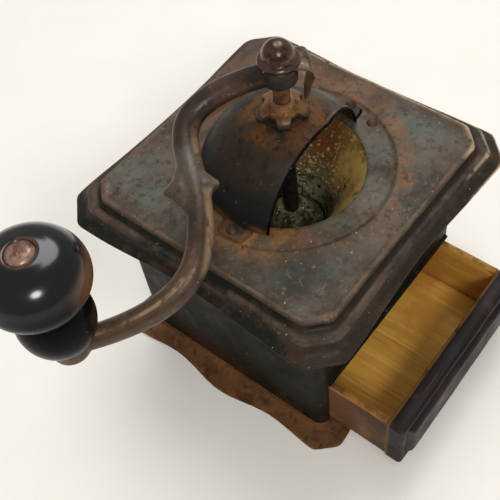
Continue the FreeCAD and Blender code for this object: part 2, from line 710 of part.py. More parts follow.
# Burr carrier: cast ring on two posts that hang from the cover
def make_carrier():
    seat = dim.burr_outer + dim.seat_fit
    ring_outer = seat + dim.carrier_ring
    post_outer = post_inner + dim.post_depth
    arm_top = carrier_bottom + dim.carrier_arm
    solids = [cylinder("carrier_ring_blank", ring_outer, carrier_bottom, bowl_bottom)]
    for name, sign in (("near", -1), ("far", 1)):
        low, high = sorted((post_inner * sign, post_outer * sign), key=float)
        post_low = (low, -dim.post_front, carrier_bottom)
        solids.append(box(name + "_post", post_low, (high, dim.tab_back, ring_under)))
        low, high = sorted((dim.burr_outer * sign, post_outer * sign), key=float)
        arm_low = (low, -dim.carrier_arm, carrier_bottom)
        solids.append(box(name + "_arm", arm_low, (high, dim.tab_back, arm_top)))
    tools = [
        cylinder("burr_seat", seat, burr_bottom, bowl_bottom + dim.sheet),
        cylinder("burr_exit", dim.burr_outer - dim.carrier_ledge, carrier_bottom - dim.sheet, bowl_bottom),
    ]
    hole = dim.rivet_radius + dim.seat_fit
    foot = ring_under - dim.rivet_depth
    for index, (x, y) in enumerate(rivet_spots):
        tools.append(cylinder("post_hole_%d" % index, hole, foot, ring_under + dim.sheet, x, y))
    tap = dim.screw_radius + dim.seat_fit
    for name, sign in (("near", -1), ("far", 1)):
        place = screw_across() * sign
        bite = carrier_bottom + dim.screw_bite
        tools.append(cylinder(name + "_tap", tap, carrier_bottom - dim.sheet, bite, place))
    keep(cut_from("carrier_cut", fused("carrier_blank", solids), tools), "burr_carrier")


def screw_across():
    """Distance of a bridge screw from the shaft: the middle of the carrier ring's wall."""
    return dim.burr_outer + dim.carrier_ring / 2


# Burrs: a fixed ring and a cone on the shaft, both grooved, with the grinding gap between them
def groove_plan(tip, mouth):
    """Wedge-shaped groove seen from above, from its tip to its open side."""
    return ((tip, 0), (mouth, dim.tooth_half), (mouth, -dim.tooth_half))


def make_burr_ring():
    body = new_body("burr_ring")
    throat_z = bowl_bottom - dim.burr_throat_drop
    revolve(
        body,
        "ring",
        (
            (dim.burr_throat + dim.burr_flare, burr_bottom),
            (dim.burr_outer, burr_bottom),
            (dim.burr_outer, bowl_bottom),
            (dim.burr_mouth, bowl_bottom),
            (dim.burr_throat, throat_z),
        ),
    )
    inner = dim.burr_throat - dim.tooth_half
    corners = groove_plan(dim.burr_throat + dim.tooth_depth, inner)
    plan = outline(body, "groove_plan", "XY_Plane", corners, burr_bottom)
    groove = extrude(body, "Pocket", "groove", plan, dim.carrier_height, reverse=True)
    repeat_round(body, "grooves", groove, dim.burr_ring_teeth)


def make_inner_burr():
    body = new_body("inner_burr")
    bore = dim.shaft_radius + dim.seat_fit
    throat_z = bowl_bottom - dim.burr_throat_drop
    waist = dim.burr_throat - dim.burr_gap
    hem = waist + dim.burr_flare
    foot = burr_bottom - dim.burr_skirt
    revolve(
        body,
        "cone",
        (
            (bore, foot),
            (hem - dim.tooth_depth, foot),
            (hem, burr_bottom),
            (waist, throat_z),
            (dim.burr_nose, bowl_bottom - dim.burr_nose_drop),
            (bore, bowl_bottom - dim.burr_nose_drop),
        ),
    )
    corners = groove_plan(hem - dim.tooth_depth, hem + dim.sheet)
    plan = outline(body, "groove_plan", "XY_Plane", corners, foot)
    groove = extrude(body, "Pocket", "groove", plan, dim.carrier_height + dim.burr_skirt, reverse=True)
    repeat_round(body, "grooves", groove, dim.burr_teeth)
    pin = circles(body, "pin_round", "XZ_Plane", ((0, pin_height()),), dim.burr_pin_radius + dim.seat_fit)
    extrude(body, "Pocket", "pin_hole", pin, dim.burr_pin_half * 2, both=True)


def pin_height():
    return bowl_bottom - dim.burr_pin_drop


def make_burr_pin():
    body = new_body("burr_pin")
    sketch = circles(body, "pin_round", "XZ_Plane", ((0, pin_height()),), dim.burr_pin_radius)
    extrude(body, "Pad", "pin", sketch, dim.burr_pin_half * 2, both=True)


# Bridge: a bar with two legs under the carrier that holds the guide bush of the shaft
def make_bridge():
    leg_outer = screw_across() + dim.bridge_leg / 2
    leg_inner = screw_across() - dim.bridge_leg / 2
    half = dim.bridge_half
    solids = [box("bridge_bar_blank", (-leg_outer, -half, bridge_bottom), (leg_outer, half, bridge_top))]
    seat = dim.guide_radius + dim.seat_fit
    tools = [cylinder("guide_seat", seat, bridge_bottom - dim.sheet, bridge_top + dim.sheet)]
    for name, sign in (("near", -1), ("far", 1)):
        low, high = sorted((leg_inner * sign, leg_outer * sign), key=float)
        solids.append(box(name + "_leg", (low, -half, bridge_bottom), (high, half, carrier_bottom)))
        place = screw_across() * sign
        hole = dim.screw_radius + dim.seat_fit
        foot, head = bridge_bottom - dim.sheet, carrier_bottom + dim.sheet
        tools.append(cylinder(name + "_hole", hole, foot, head, place))
    keep(cut_from("bridge_cut", fused("bridge_blank", solids), tools), "lower_bridge")


def make_guide_bush():
    bore = dim.shaft_radius + dim.running_fit
    low, high = bridge_bottom - dim.guide_stand, bridge_top + dim.guide_stand
    corners = ((bore, low), (dim.guide_radius, low), (dim.guide_radius, high), (bore, high))
    revolve(new_body("guide_bush"), "bush", corners)


def make_bridge_screws():
    head = bridge_bottom - dim.screw_head_height
    tip = carrier_bottom + dim.screw_bite
    screws = []
    for name, sign in (("near", -1), ("far", 1)):
        place = screw_across() * sign
        shank = cylinder(name + "_shank", dim.screw_radius, bridge_bottom, tip, place)
        top = cylinder(name + "_screw_head", dim.screw_head, head, bridge_bottom, place)
        screws.append(fused(name + "_screw", [shank, top]))
    group("bridge_screws", screws)


# Shaft: round, with a flat for the washer, a square for the crank and a stud for the cap nut
def make_shaft():
    body = new_body("shaft")
    tail = bridge_bottom - dim.shaft_tail
    corners = ((0, tail), (dim.shaft_radius, tail), (dim.shaft_radius, eye_bottom), (0, eye_bottom))
    revolve(body, "round", corners)
    half = dim.shaft_square / 2
    square = outline(body, "square_plan", "XY_Plane", rectangle((-half, -half), (half, half)), eye_bottom)
    extrude(body, "Pad", "square", square, dim.eye_height - dim.sheet)
    stud = circles(body, "stud_plan", "XY_Plane", ((0, 0),), dim.stud_radius, eye_top - dim.sheet)
    extrude(body, "Pad", "stud", stud, dim.stud_length + dim.sheet)
    flat_start = dim.shaft_radius - dim.shaft_flat
    flat_end = dim.shaft_radius + dim.sheet
    plan = rectangle((flat_start, -flat_end), (flat_end, flat_end))
    flat = outline(body, "flat_plan", "XY_Plane", plan, bush_top - dim.washer_height * 3)
    extrude(body, "Pocket", "flat", flat, dim.washer_height * 6 + dim.nut_height, reverse=True)
    pin = circles(body, "pin_round", "XZ_Plane", ((0, pin_height()),), dim.burr_pin_radius + dim.seat_fit)
    extrude(body, "Pocket", "pin_hole", pin, dim.burr_pin_half * 2, both=True)


# Keyed washer: turns with the shaft's flat and carries the adjusting nut
def make_washer():
    body = new_body("thrust_washer")
    bore = dim.shaft_radius + dim.running_fit
    edge = dim.washer_radius
    revolve(body, "disc", ((bore, bush_top), (edge, bush_top), (edge, washer_top), (bore, washer_top)))
    key_start = dim.shaft_radius - dim.shaft_flat + dim.running_fit
    half = dim.shaft_radius - dim.shaft_flat
    plan = rectangle((key_start, -half), (bore + dim.sheet, half))
    key = outline(body, "key_plan", "XY_Plane", plan, bush_top)
    extrude(body, "Pad", "key", key, dim.washer_height)


# Adjusting nut: lobed disc whose tips droop, threaded on the shaft
def make_nut():
    body = new_body("adjusting_nut")
    bore = dim.shaft_radius + dim.running_fit
    hub_top = nut_top + dim.nut_hub_rise
    skirt = dim.washer_radius + dim.play
    revolve(
        body,
        "star",
        (
            (bore, washer_top),
            (skirt, washer_top),
            (skirt, washer_top - dim.nut_droop + dim.play),
            (dim.nut_radius, washer_top - dim.nut_droop + dim.play),
            (dim.nut_radius, nut_top - dim.nut_droop),
            (skirt - dim.nut_droop, nut_top),
            (dim.nut_hub, nut_top),
            (dim.nut_hub, hub_top),
            (bore, hub_top),
        ),
    )
    half = dim.notch_width / 2
    start = dim.nut_radius - dim.notch_depth
    plan = rectangle((start, -half), (dim.nut_radius + dim.sheet, half))
    notch_plan = outline(body, "notch_plan", "XY_Plane", plan, washer_top - dim.nut_droop)
    notch = extrude(body, "Pocket", "notch", notch_plan, dim.nut_height + dim.nut_droop, reverse=True)
    repeat_round(body, "notches", notch, dim.notch_count)
    body.setExpression("Placement.Rotation.Angle", dim.pawl_angle.text)


# Pawl spring: strip under the cap nut, bent down into a notch of the adjusting nut
def make_pawl():
    body = new_body("pawl_spring")
    tip = nut_top - dim.pawl_grip
    corners = (
        (-dim.cap_flange, eye_top),
        (pawl_reach - dim.pawl_sheet, eye_top),
        (pawl_foot - dim.pawl_sheet, tip),
        (pawl_foot, tip),
        (pawl_reach, pawl_top),
        (-dim.cap_flange, pawl_top),
    )
    strip = outline(body, "strip_side", "XZ_Plane", corners)
    extrude(body, "Pad", "strip", strip, dim.pawl_width, both=True)
    shoulder = eye_bottom
    edge = dim.pawl_width / 2 + dim.sheet
    half = dim.notch_width / 2 - dim.pawl_play
    for name, low, high in (("near_relief", -edge, -half), ("far_relief", half, edge)):
        plan = rectangle((low, tip - dim.sheet), (high, shoulder))
        relief = outline(body, name + "_plan", "YZ_Plane", plan)
        extrude(body, "Pocket", name, relief, pawl_reach * 2, both=True)
    hole = circles(body, "hole_plan", "XY_Plane", ((0, 0),), dim.stud_radius + dim.seat_fit, eye_top)
    extrude(body, "Pocket", "hole", hole, dim.pawl_sheet, reverse=True)
    body.setExpression("Placement.Rotation.Angle", dim.pawl_angle.text)


# Crank: an S-shaped arm that falls from the eye to the knob boss, with a two-tipped leaf half way
def arm_line():
    """Smooth line of the arm through the eye, both bows, the leaf and the boss, where it runs level."""
    reach, turn, drop = float(dim.crank_reach), float(dim.crank_turn), float(dim.crank_drop)
    inner_bow, outer_bow = float(dim.bow_inner), float(dim.bow_outer)
    spots = [(0.0, 0.0, 0.0)]
    spots += [(turn * along, -inner_bow * side, drop * fall) for along, side, fall in INNER_BENDS]
    spots += [(turn, 0.0, drop * turn / reach)]
    rest = reach - turn
    spots += [(turn + rest * along, outer_bow * side, drop * fall) for along, side, fall in OUTER_BENDS]
    spots += [(reach, 0.0, drop)]
    way = Rotation(Vector(0, 0, 1), float(dim.crank_angle))
    eye_middle = float(eye_bottom + dim.eye_height / 2)
    curve = Part.BSplineCurve()
    curve.interpolate([way.multVec(Vector(along, side, eye_middle - fall)) for along, side, fall in spots])
    return curve


def arm_radius(point):
    """The arm swells from the eye to the leaf, then settles to its end."""
    turn, reach = float(dim.crank_turn), float(dim.crank_reach)
    along = math.hypot(point.x, point.y)
    if along < turn:
        share = (along / turn) ** 2
        return float(dim.arm_start) + share * (float(dim.arm_middle) - float(dim.arm_start))
    share = min((along - turn) / (reach - turn), 1.0)
    return float(dim.arm_middle) + share * (float(dim.arm_end) - float(dim.arm_middle))


def sideways_of(onward):
    return onward.cross(Vector(0, 0, 1)).normalize()


def arm_ring(line, middle):
    """Round section of the arm, square to its line."""
    onward = Vector(*line.tangent(line.parameter(middle))[0])
    sideways = sideways_of(onward)
    ring = Part.Wire([Part.makeCircle(arm_radius(middle))])
    ring.Placement = Placement(middle, Rotation(sideways, onward.cross(sideways), onward, "ZXY"))
    return ring


def arm_stretch(line, start, end):
    """Length of the arm between two places on its line."""
    steps = [start + (end - start) * index / (ARM_SECTIONS - 1) for index in range(ARM_SECTIONS)]
    return Part.makeLoft([arm_ring(line, line.value(step)) for step in steps], True, False)


def make_crank():
    line = arm_line()
    start, end = line.FirstParameter, line.LastParameter
    inner_crest = line.getKnot(len(INNER_BENDS) + 1)
    place = line.getKnot(len(INNER_BENDS) + 2)
    outer_crest = line.getKnot(len(INNER_BENDS) + 3)
    solid = arm_stretch(line, start, inner_crest)
    solid = solid.fuse([arm_stretch(line, inner_crest, outer_crest), arm_stretch(line, outer_crest, end)])
    onward = Vector(*line.tangent(place)[0])
    root = line.value(place) - onward * float(dim.barb_set)
    tips = ((-dim.barb_near, dim.barb_near_sweep), (dim.barb_far, dim.barb_far_sweep))
    for side, sweep in tips:
        leaf = sideways_of(onward) * float(side) + onward * float(sweep)
        tip = Part.makeCone(float(dim.barb_root), float(dim.barb_tip), leaf.Length, root, leaf)
        solid = solid.fuse(tip)
    knob_x, knob_y = knob_place.x, knob_place.y
    solid = solid.fuse(upright(dim.eye_radius, eye_bottom, eye_top))
    solid = solid.fuse(upright(dim.boss_radius, boss_bottom, boss_top, knob_x, knob_y))
    eye_hole = float(dim.shaft_square + dim.seat_fit * 2) / 2
    under_knob = dim.knob_foot + dim.knob_disc_bulge + dim.play
    tools = (
        block(eye_hole, float(eye_bottom), float(eye_top)),
        upright(dim.eye_radius * 2, eye_top, eye_top + dim.eye_height),
        upright(dim.eye_radius, eye_bottom - dim.eye_height, eye_bottom),
        upright(under_knob, boss_top, boss_top + dim.boss_height, knob_x, knob_y),
        upright(dim.boss_radius, boss_bottom - dim.boss_height, boss_bottom, knob_x, knob_y),
        upright(dim.pin_radius + dim.seat_fit, boss_bottom, boss_top, knob_x, knob_y),
    )
    for tool in tools:
        solid = solid.cut(tool)
    shape_part("crank_arm", solid)


def make_cap_nut():
    flange_top = pawl_top + dim.cap_flange_height
    cone_top = flange_top + dim.cap_cone
    crown = cone_top + dim.cap_dome
    blind = eye_top + dim.stud_length + dim.seat_fit
    bore = dim.stud_radius + dim.seat_fit
    corners = (
        (bore, pawl_top),
        (dim.cap_flange, pawl_top),
        (dim.cap_flange, flange_top),
        (dim.cap_waist, cone_top, dome_bend(dim.cap_waist, dim.cap_dome), 1),
        (0, crown),
        (0, blind),
        (bore, blind),
    )
    revolve(new_body("cap_nut"), "nut", corners)


def at_knob(body):
    """Stands a turned piece on the knob's axis."""
    body.setExpression("Placement.Base.x", "sizes.crank_reach * cos(sizes.crank_angle * 1 deg)")
    body.setExpression("Placement.Base.y", "sizes.crank_reach * sin(sizes.crank_angle * 1 deg)")


# Knob: turned wood on a riveted pin, with a washer on the boss
def make_knob():
    body = new_body("crank_knob")
    bore = dim.pin_radius + dim.running_fit
    neck = knob_bottom + dim.knob_disc_height
    disc_bend = bulge_bend(dim.knob_foot - dim.knob_neck, dim.knob_disc_height, dim.knob_disc_bulge)
    ball_bend = bulge_bend(dim.knob_neck - dim.knob_crown, dim.knob_ball_height, dim.knob_ball_bulge)
    corners = (
        (bore, knob_bottom),
        (dim.knob_foot, knob_bottom, disc_bend, 1),
        (dim.knob_neck, neck, ball_bend, 1),
        (dim.knob_crown, knob_top),
        (dim.knob_crown - dim.knob_dish, knob_seat),
        (bore, knob_seat),
    )
    revolve(body, "turning", corners)
    at_knob(body)


def make_knob_pin():
    body = new_body("knob_pin")
    foot = boss_bottom - dim.pin_foot_height
    head = knob_seat + dim.play
    corners = (
        (0, foot),
        (dim.pin_foot, foot),
        (dim.pin_foot, boss_bottom),
        (dim.pin_radius, boss_bottom),
        (dim.pin_radius, head),
        (dim.pin_head, head, dome_bend(dim.pin_head, dim.pin_dome), 1),
        (0, head + dim.pin_dome),
    )
    revolve(body, "pin", corners)
    at_knob(body)


def make_knob_washer():
    body = new_body("knob_washer")
    bore = dim.pin_radius + dim.seat_fit
    edge = dim.knob_washer_radius
    high = boss_top + dim.sheet
    revolve(body, "disc", ((bore, boss_top), (edge, boss_top), (edge, high), (bore, high)))
    at_knob(body)


# Drawer: nailed wooden box whose front has a raised, bevelled field
def make_drawer_front():
    body = new_body("drawer_front")
    half = drawer_half
    board_face = front_face + dim.field_rise
    whole = rectangle((-half, front_bottom), (half, drawer_top))
    board = outline(body, "board_face", "XZ_Plane", whole, -board_face)
    extrude(body, "Pad", "board", board, dim.front_board, reverse=True)
    inset = dim.field_inset
    plan = rectangle((-half + inset, front_bottom + inset), (half - inset, drawer_top - inset))
    field = outline(body, "field_edge", "XZ_Plane", plan, -board_face)
    raised = extrude(body, "Pad", "field", field, dim.field_rise)
    raised.setExpression("TaperAngle", (-dim.field_bevel).text)


def make_drawer_boards():
    half, inner = drawer_half, drawer_half - dim.side_board
    back_inner = drawer_back_face - dim.side_board
    floor_low = side_bottom + dim.bottom_rise
    floor_high = floor_low + dim.bottom_board
    left_low = (-half, front_back, side_bottom)
    keep(box("left_board", left_low, (-inner, drawer_back_face, drawer_top)), "drawer_left_side")
    right_low = (inner, front_back, side_bottom)
    keep(box("right_board", right_low, (half, drawer_back_face, drawer_top)), "drawer_right_side")
    back_low = (-inner, back_inner, side_bottom)
    keep(box("back_board", back_low, (inner, drawer_back_face, drawer_top)), "drawer_back")
    floor_start = (-inner, front_back, floor_low)
    keep(box("floor_board", floor_start, (inner, back_inner, floor_high)), "drawer_bottom")


def nail(name, start, turn):
    """Nail driven from a start along the way that a turn gives to the vertical."""
    pieces = []
    for kind, radius, length in (
        ("shank", dim.nail_radius, dim.nail_length),
        ("head", dim.nail_head, dim.nail_head_height),
    ):
        rod = doc.addObject("Part::Cylinder", "%s_%s" % (name, kind))
        bind(rod, "Radius", radius)
        bind(rod, "Height", length)
        rod.Placement.Rotation = turn
        for axis, size in zip("xyz", start):
            rod.setExpression("Placement.Base." + axis, size.text)
        pieces.append(rod)
    return fused(name, pieces)


def make_nails():
    """Nails through the front into the sides, and through the sides into the back."""
    across = drawer_half - dim.side_board / 2
    face = front_face + dim.field_rise
    back = drawer_back_face - dim.side_board / 2
    levels = (("low", side_bottom + dim.nail_inset), ("high", drawer_top - dim.nail_inset))
    nails = []
    for level, height in levels:
        for side, sign in (("left", -1), ("right", 1)):
            inward = Rotation(Vector(0, 0, 1), Vector(-sign, 0, 0))
            nails.append(nail("%s_%s_back_nail" % (level, side), (drawer_half * sign, back, height), inward))
            rearward = Rotation(Vector(0, 0, 1), Vector(0, 1, 0))
            nails.append(nail("%s_%s_front_nail" % (level, side), (across * sign, face, height), rearward))
    group("drawer_nails", nails)


def make_runners():
    half = ridge_inner
    behind_front = front_back + dim.drawer_open + dim.play
    rails = []
    for name, sign in (("near", -1), ("far", 1)):
        low, high = sorted((half * sign, (half - dim.runner_width) * sign), key=float)
        start = (low, behind_front, dim.sheet)
        rails.append(box(name + "_runner", start, (high, half, runner_top)))
    group("drawer_runners", rails)


make_base()
make_body()
make_cover()
make_bowl()
make_hood()
make_rivets()
make_hood_bush()
make_carrier()
make_burr_ring()
make_inner_burr()
make_burr_pin()
make_bridge()
make_guide_bush()
make_bridge_screws()
make_shaft()
make_washer()
make_nut()
make_pawl()
make_crank()
make_cap_nut()
make_knob()
make_knob_pin()
make_knob_washer()
make_drawer_front()
make_drawer_boards()
make_nails()
make_runners()

doc.recompute()
for thing in doc.Objects:
    if "Invalid" in thing.State or "Error" in thing.State:
        raise RuntimeError("%s did not build" % thing.Label)
for thing in parts:
    if thing.Shape.isNull() or not thing.Shape.isValid():
        raise RuntimeError("%s has no valid shape" % thing.Label)

os.makedirs("parts", exist_ok=True)
for thing in parts:
    thing.Shape.exportStep("parts/%s.step" % thing.Label)
    print("%-20s %d solids %10.1f mm3" % (thing.Label, len(thing.Shape.Solids), thing.Shape.Volume))
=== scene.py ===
import math

import bmesh
import bpy
from mathutils import Matrix, Vector, noise


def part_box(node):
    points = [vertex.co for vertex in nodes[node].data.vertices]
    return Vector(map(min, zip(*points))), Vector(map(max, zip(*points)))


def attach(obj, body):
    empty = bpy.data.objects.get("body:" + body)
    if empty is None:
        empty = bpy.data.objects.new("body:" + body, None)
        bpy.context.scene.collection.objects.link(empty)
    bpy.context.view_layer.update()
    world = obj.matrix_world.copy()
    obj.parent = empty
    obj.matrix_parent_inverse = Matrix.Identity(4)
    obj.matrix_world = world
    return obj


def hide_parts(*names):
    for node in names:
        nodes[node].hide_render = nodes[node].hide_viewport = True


# Looks of a hand crank box coffee grinder. Shapes are written in millimetres and scaled to metres.
# Finishes and lamps are placed in metres, as shaders and lamps take them.

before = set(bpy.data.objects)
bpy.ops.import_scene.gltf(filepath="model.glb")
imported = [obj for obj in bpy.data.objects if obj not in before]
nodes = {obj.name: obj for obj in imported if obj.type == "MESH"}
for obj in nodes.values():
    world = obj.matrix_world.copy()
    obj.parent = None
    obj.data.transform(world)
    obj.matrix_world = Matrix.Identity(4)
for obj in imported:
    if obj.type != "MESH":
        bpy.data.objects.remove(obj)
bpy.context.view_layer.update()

MM = 0.001
SHARP_ANGLE = 50
ALONG_X, ALONG_Y = 0, 1

# Fineness of meshes
SIDE_POINTS = 48
CORNER_POINTS = 8
HOOD_STEPS = 28
HOOD_SEGMENTS = 144
ARM_SIDES = 24
DRUM_SEGMENTS = 40
CAP_SEGMENTS = 72
NUT_SEGMENTS = 200
KNOB_SEGMENTS = 112
PIN_SEGMENTS = 48
CURVE_PASSES = 80

# Dents: the same ones each run, each pair a size and a depth
DENT_SEED = 5
COVER_DENTS = (22, 0.22)
BASE_DENTS = (16, 0.16)
HOOD_DENTS = (18, 0.2)
PIN_DENTS = (2.4, 0.12)
BOARD_DENTS = (14, 0.12)
FRONT_DENTS = (12, 0.14)
noise.seed_set(DENT_SEED)

# Cover and base
TOP_Z = 102.0
RING_FLOOR = 101.0
RING_RADIUS = 44.2
MOUTH_RADIUS = 32.6
TOP_HALF = 58.0
TOP_CHAMFER = 8.0
BEAD_INSET = 3.4
RIM_OUT = 10.9
RIM_CHAMFER = 11.2
RIM_BOW = 2.8
SHEET = 1.0
BASE_INNER = 46.8
BASE_INNER_CHAMFER = 5.0
BASE_RIDGE = 53.8
BASE_HALF = 63.0
BASE_RISE = 3.4
BASE_CHAMFER = 6.0
BASE_CORNER_FLARE = 2.6
BASE_SWELL = 2.0
BASE_SCOOP = 3.0

# Hood
HOOD_BASE = 37.0
HOOD_TOP = 130.2
HOOD_FLAT = 7.7
HOOD_BEND = 37.8
HOOD_SHEET = 1.2
HOOD_FRONT = 16.0
HOOD_TURN = 8.0
HOOD_FAR_FRONT = 9.4
HOOD_SLOPE = (HOOD_FRONT - HOOD_FAR_FRONT) / (HOOD_BASE + SHEET - HOOD_TURN)
HOOD_EDGE = 0.35
BUSH_SEAT = 5.03
LEFT_TAB = [(-43.2, -9.5), (-35.2, -11.0), (-35.6, 4.5), (-43.4, 2.6)]
RIGHT_TAB = [(35.4, -9.6), (42.6, -8.8), (43.4, 2.6), (35.6, 4.0)]

# Crank and knob
CRANK_REACH = 113.6
CRANK_ANGLE = math.radians(174)
EYE_MIDDLE = 151.9
CRANK_DROP = 47.9
CRANK_TURN = 46.8
BOW_INNER = 18.6
BOW_OUTER = 22.4
ARM_AT_EYE = 4.6
ARM_SWELL = 0.6
ARM_AT_LEAF = 5.2
ARM_TAPER = 0.7
EYE_RADIUS = 6.9
EYE_BOTTOM = 147.8
EYE_TOP = 156.0
BOSS_RADIUS = 7.4
BOSS_BOTTOM = 100.0
BOSS_TOP = 108.0
CASTING_GRAIN = 0.55
LEAF_X = CRANK_TURN * math.cos(CRANK_ANGLE)
LEAF_Y = CRANK_TURN * math.sin(CRANK_ANGLE)
KNOB_X = CRANK_REACH * math.cos(CRANK_ANGLE)
KNOB_Y = CRANK_REACH * math.sin(CRANK_ANGLE)

# Adjuster
PAWL_ANGLE = math.radians(-32)
PLATE_ANGLE = math.radians(-41)
PAWL_TWIST = math.radians(38)
NUT_RADIUS = 10.6
NOTCHES = 5
NOTCH_DEPTH = 3.4
NOTCH_HALF = math.radians(25)
NOTCH_SIDE = math.radians(15)

# Drawer
DRAWER_HALF = 47.2
DRAWER_TOP = 36.1
SIDE_BOTTOM = 4.7
SIDE_BOARD = 4.0
FRONT_BOTTOM = 3.7
FRONT_FACE = -92.2
FRONT_BACK = -81.6
DRAWER_BACK = 5.6
BOARD_SOFT = 0.5
BOARD_SPACING = 2.4
BOARD_STEP = 4.0

# Stage and light: each lamp's name, place, width, power in watts, and whether shiny surfaces mirror it
FLOOR_RADIUS = 4.0
WORLD_STRENGTH = 0.35
LAMP_AIM = (0, 0, 0.08)
LAMPS = (
    ("key", (-0.6, -0.76, 1.02), 0.36, 6.2, True),
    ("fill", (-0.15, -0.55, 1.45), 1.2, 3.0, False),
    ("window", (0.62, 0.4, 1.3), 1.0, 11.0, True),
)

# Camera, fitted to the photo: angles in degrees, sensor and lens in millimetres
CAMERA_AZIMUTH = -47.719
CAMERA_ELEVATION = 54.557
CAMERA_ROLL = -6.2555
CAMERA_PLACE = (-0.173203, -0.150739, 0.363127)
CAMERA_SENSOR = 36.0
CAMERA_LENS = 60.74
CAMERA_SHIFT = -0.07


def linear(tone):
    """Screen colour, 0 to 255, as the light values that a shader takes."""
    values = []
    for part in tone:
        share = part / 255
        values.append(((share + 0.055) / 1.055) ** 2.4 if share > 0.04 else share / 12.92)
    return (*values, 1.0)


class Finish:
    """A Principled material, built up in layers of tone over a ground colour."""

    def __init__(self, name, ground):
        self.material = bpy.data.materials.new(name)
        self.material.use_nodes = True
        self.tree = self.material.node_tree
        self.surface = self.tree.nodes["Principled BSDF"]
        self.place = self.add("ShaderNodeTexCoord").outputs["Object"]
        self.colour = linear(ground)
        self.normal = None
        self.seed = 0.0

    def add(self, kind, **settings):
        node = self.tree.nodes.new(kind)
        for name, value in settings.items():
            setattr(node, name, value)
        return node

    def feed(self, socket, value):
        if isinstance(value, bpy.types.NodeSocket):
            self.tree.links.new(value, socket)
        else:
            socket.default_value = value

    def noise(self, scale, detail=6.0, stretch=(1, 1, 1), distortion=0.0):
        """Clouds of the given fineness, per metre, different each time they are asked for."""
        self.seed += 0.37
        mapping = self.add("ShaderNodeMapping")
        self.feed(mapping.inputs["Vector"], self.place)
        mapping.inputs["Location"].default_value = (self.seed, self.seed * 2, -self.seed)
        mapping.inputs["Scale"].default_value = stretch
        texture = self.add("ShaderNodeTexNoise")
        self.feed(texture.inputs["Vector"], mapping.outputs["Vector"])
        texture.inputs["Scale"].default_value = scale
        texture.inputs["Detail"].default_value = detail
        texture.inputs["Roughness"].default_value = 0.6
        texture.inputs["Distortion"].default_value = distortion
        return texture.outputs["Fac"]

    def step(self, source, low, high, bottom=0.0, top=1.0):
        """Smooth change from bottom to top while the source goes from low to high."""
        node = self.add("ShaderNodeMapRange", interpolation_type="SMOOTHSTEP")
        self.feed(node.inputs["Value"], source)
        for name, value in (("From Min", low), ("From Max", high), ("To Min", bottom), ("To Max", top)):
            node.inputs[name].default_value = value
        return node.outputs["Result"]

    def cloud(self, scale, low, high, **more):
        return self.step(self.noise(scale, **more), low, high)

    def reckon(self, operation, first, second=0.0):
        node = self.add("ShaderNodeMath", operation=operation)
        self.feed(node.inputs[0], first)
        self.feed(node.inputs[1], second)
        return node.outputs[0]

    def both(self, *masks):
        joined = masks[0]
        for mask in masks[1:]:
            joined = self.reckon("MULTIPLY", joined, mask)
        return joined

    def either(self, first, second):
        return self.reckon("MAXIMUM", first, second)

    def axis(self, name):
        split = self.add("ShaderNodeSeparateXYZ")
        self.feed(split.inputs[0], self.place)
        return split.outputs[name]

    def away(self, name):
        """Distance from the middle plane across one axis."""
        return self.reckon("ABSOLUTE", self.axis(name))

    def radius(self, x=0.0, y=0.0):
        """Distance from an upright line."""
        across = self.reckon("SUBTRACT", self.axis("X"), x)
        along = self.reckon("SUBTRACT", self.axis("Y"), y)
        across_squared = self.reckon("MULTIPLY", across, across)
        along_squared = self.reckon("MULTIPLY", along, along)
        return self.reckon("SQRT", self.reckon("ADD", across_squared, along_squared))

    def band(self, source, low, start, end, high):
        """Rises from low to start and falls again from end to high."""
        return self.both(self.step(source, low, start), self.step(source, end, high, 1.0, 0.0))

    def facing(self, direction):
        """How much the surface looks in a direction, in the piece's own frame."""
        node = self.add("ShaderNodeVectorMath", operation="DOT_PRODUCT")
        self.feed(node.inputs[0], self.add("ShaderNodeTexCoord").outputs["Normal"])
        node.inputs[1].default_value = direction
        return node.outputs["Value"]

    def edges(self, low=0.52, high=0.62):
        """Where the surface bends outwards."""
        return self.step(self.add("ShaderNodeNewGeometry").outputs["Pointiness"], low, high)

    def hollows(self, low=0.38, high=0.49):
        """Where the surface bends inwards."""
        return self.step(self.add("ShaderNodeNewGeometry").outputs["Pointiness"], low, high, 1.0, 0.0)

    def layer(self, tone, mask):
        """Lays a tone over the colour so far, where the mask is 1."""
        node = self.add("ShaderNodeMix", data_type="RGBA")
        self.feed(node.inputs[0], mask)
        self.feed(node.inputs[6], self.colour)
        self.feed(node.inputs[7], linear(tone))
        self.colour = node.outputs[2]

    def relief(self, height, depth):
        """Raises and lowers the surface by depth, in millimetres."""
        bump = self.add("ShaderNodeBump")
        bump.inputs["Distance"].default_value = depth * MM
        self.feed(bump.inputs["Height"], height)
        if self.normal:
            self.feed(bump.inputs["Normal"], self.normal)
        self.normal = bump.outputs["Normal"]

    def done(self, roughness, metallic=0.0, specular=0.5, coat=0.0):
        self.feed(self.surface.inputs["Base Color"], self.colour)
        self.feed(self.surface.inputs["Roughness"], roughness)
        self.surface.inputs["Metallic"].default_value = metallic
        self.surface.inputs["Specular IOR Level"].default_value = specular
        self.feed(self.surface.inputs["Coat Weight"], coat)
        self.surface.inputs["Coat Roughness"].default_value = 0.17
        if self.normal:
            self.feed(self.surface.inputs["Normal"], self.normal)
        return self.material


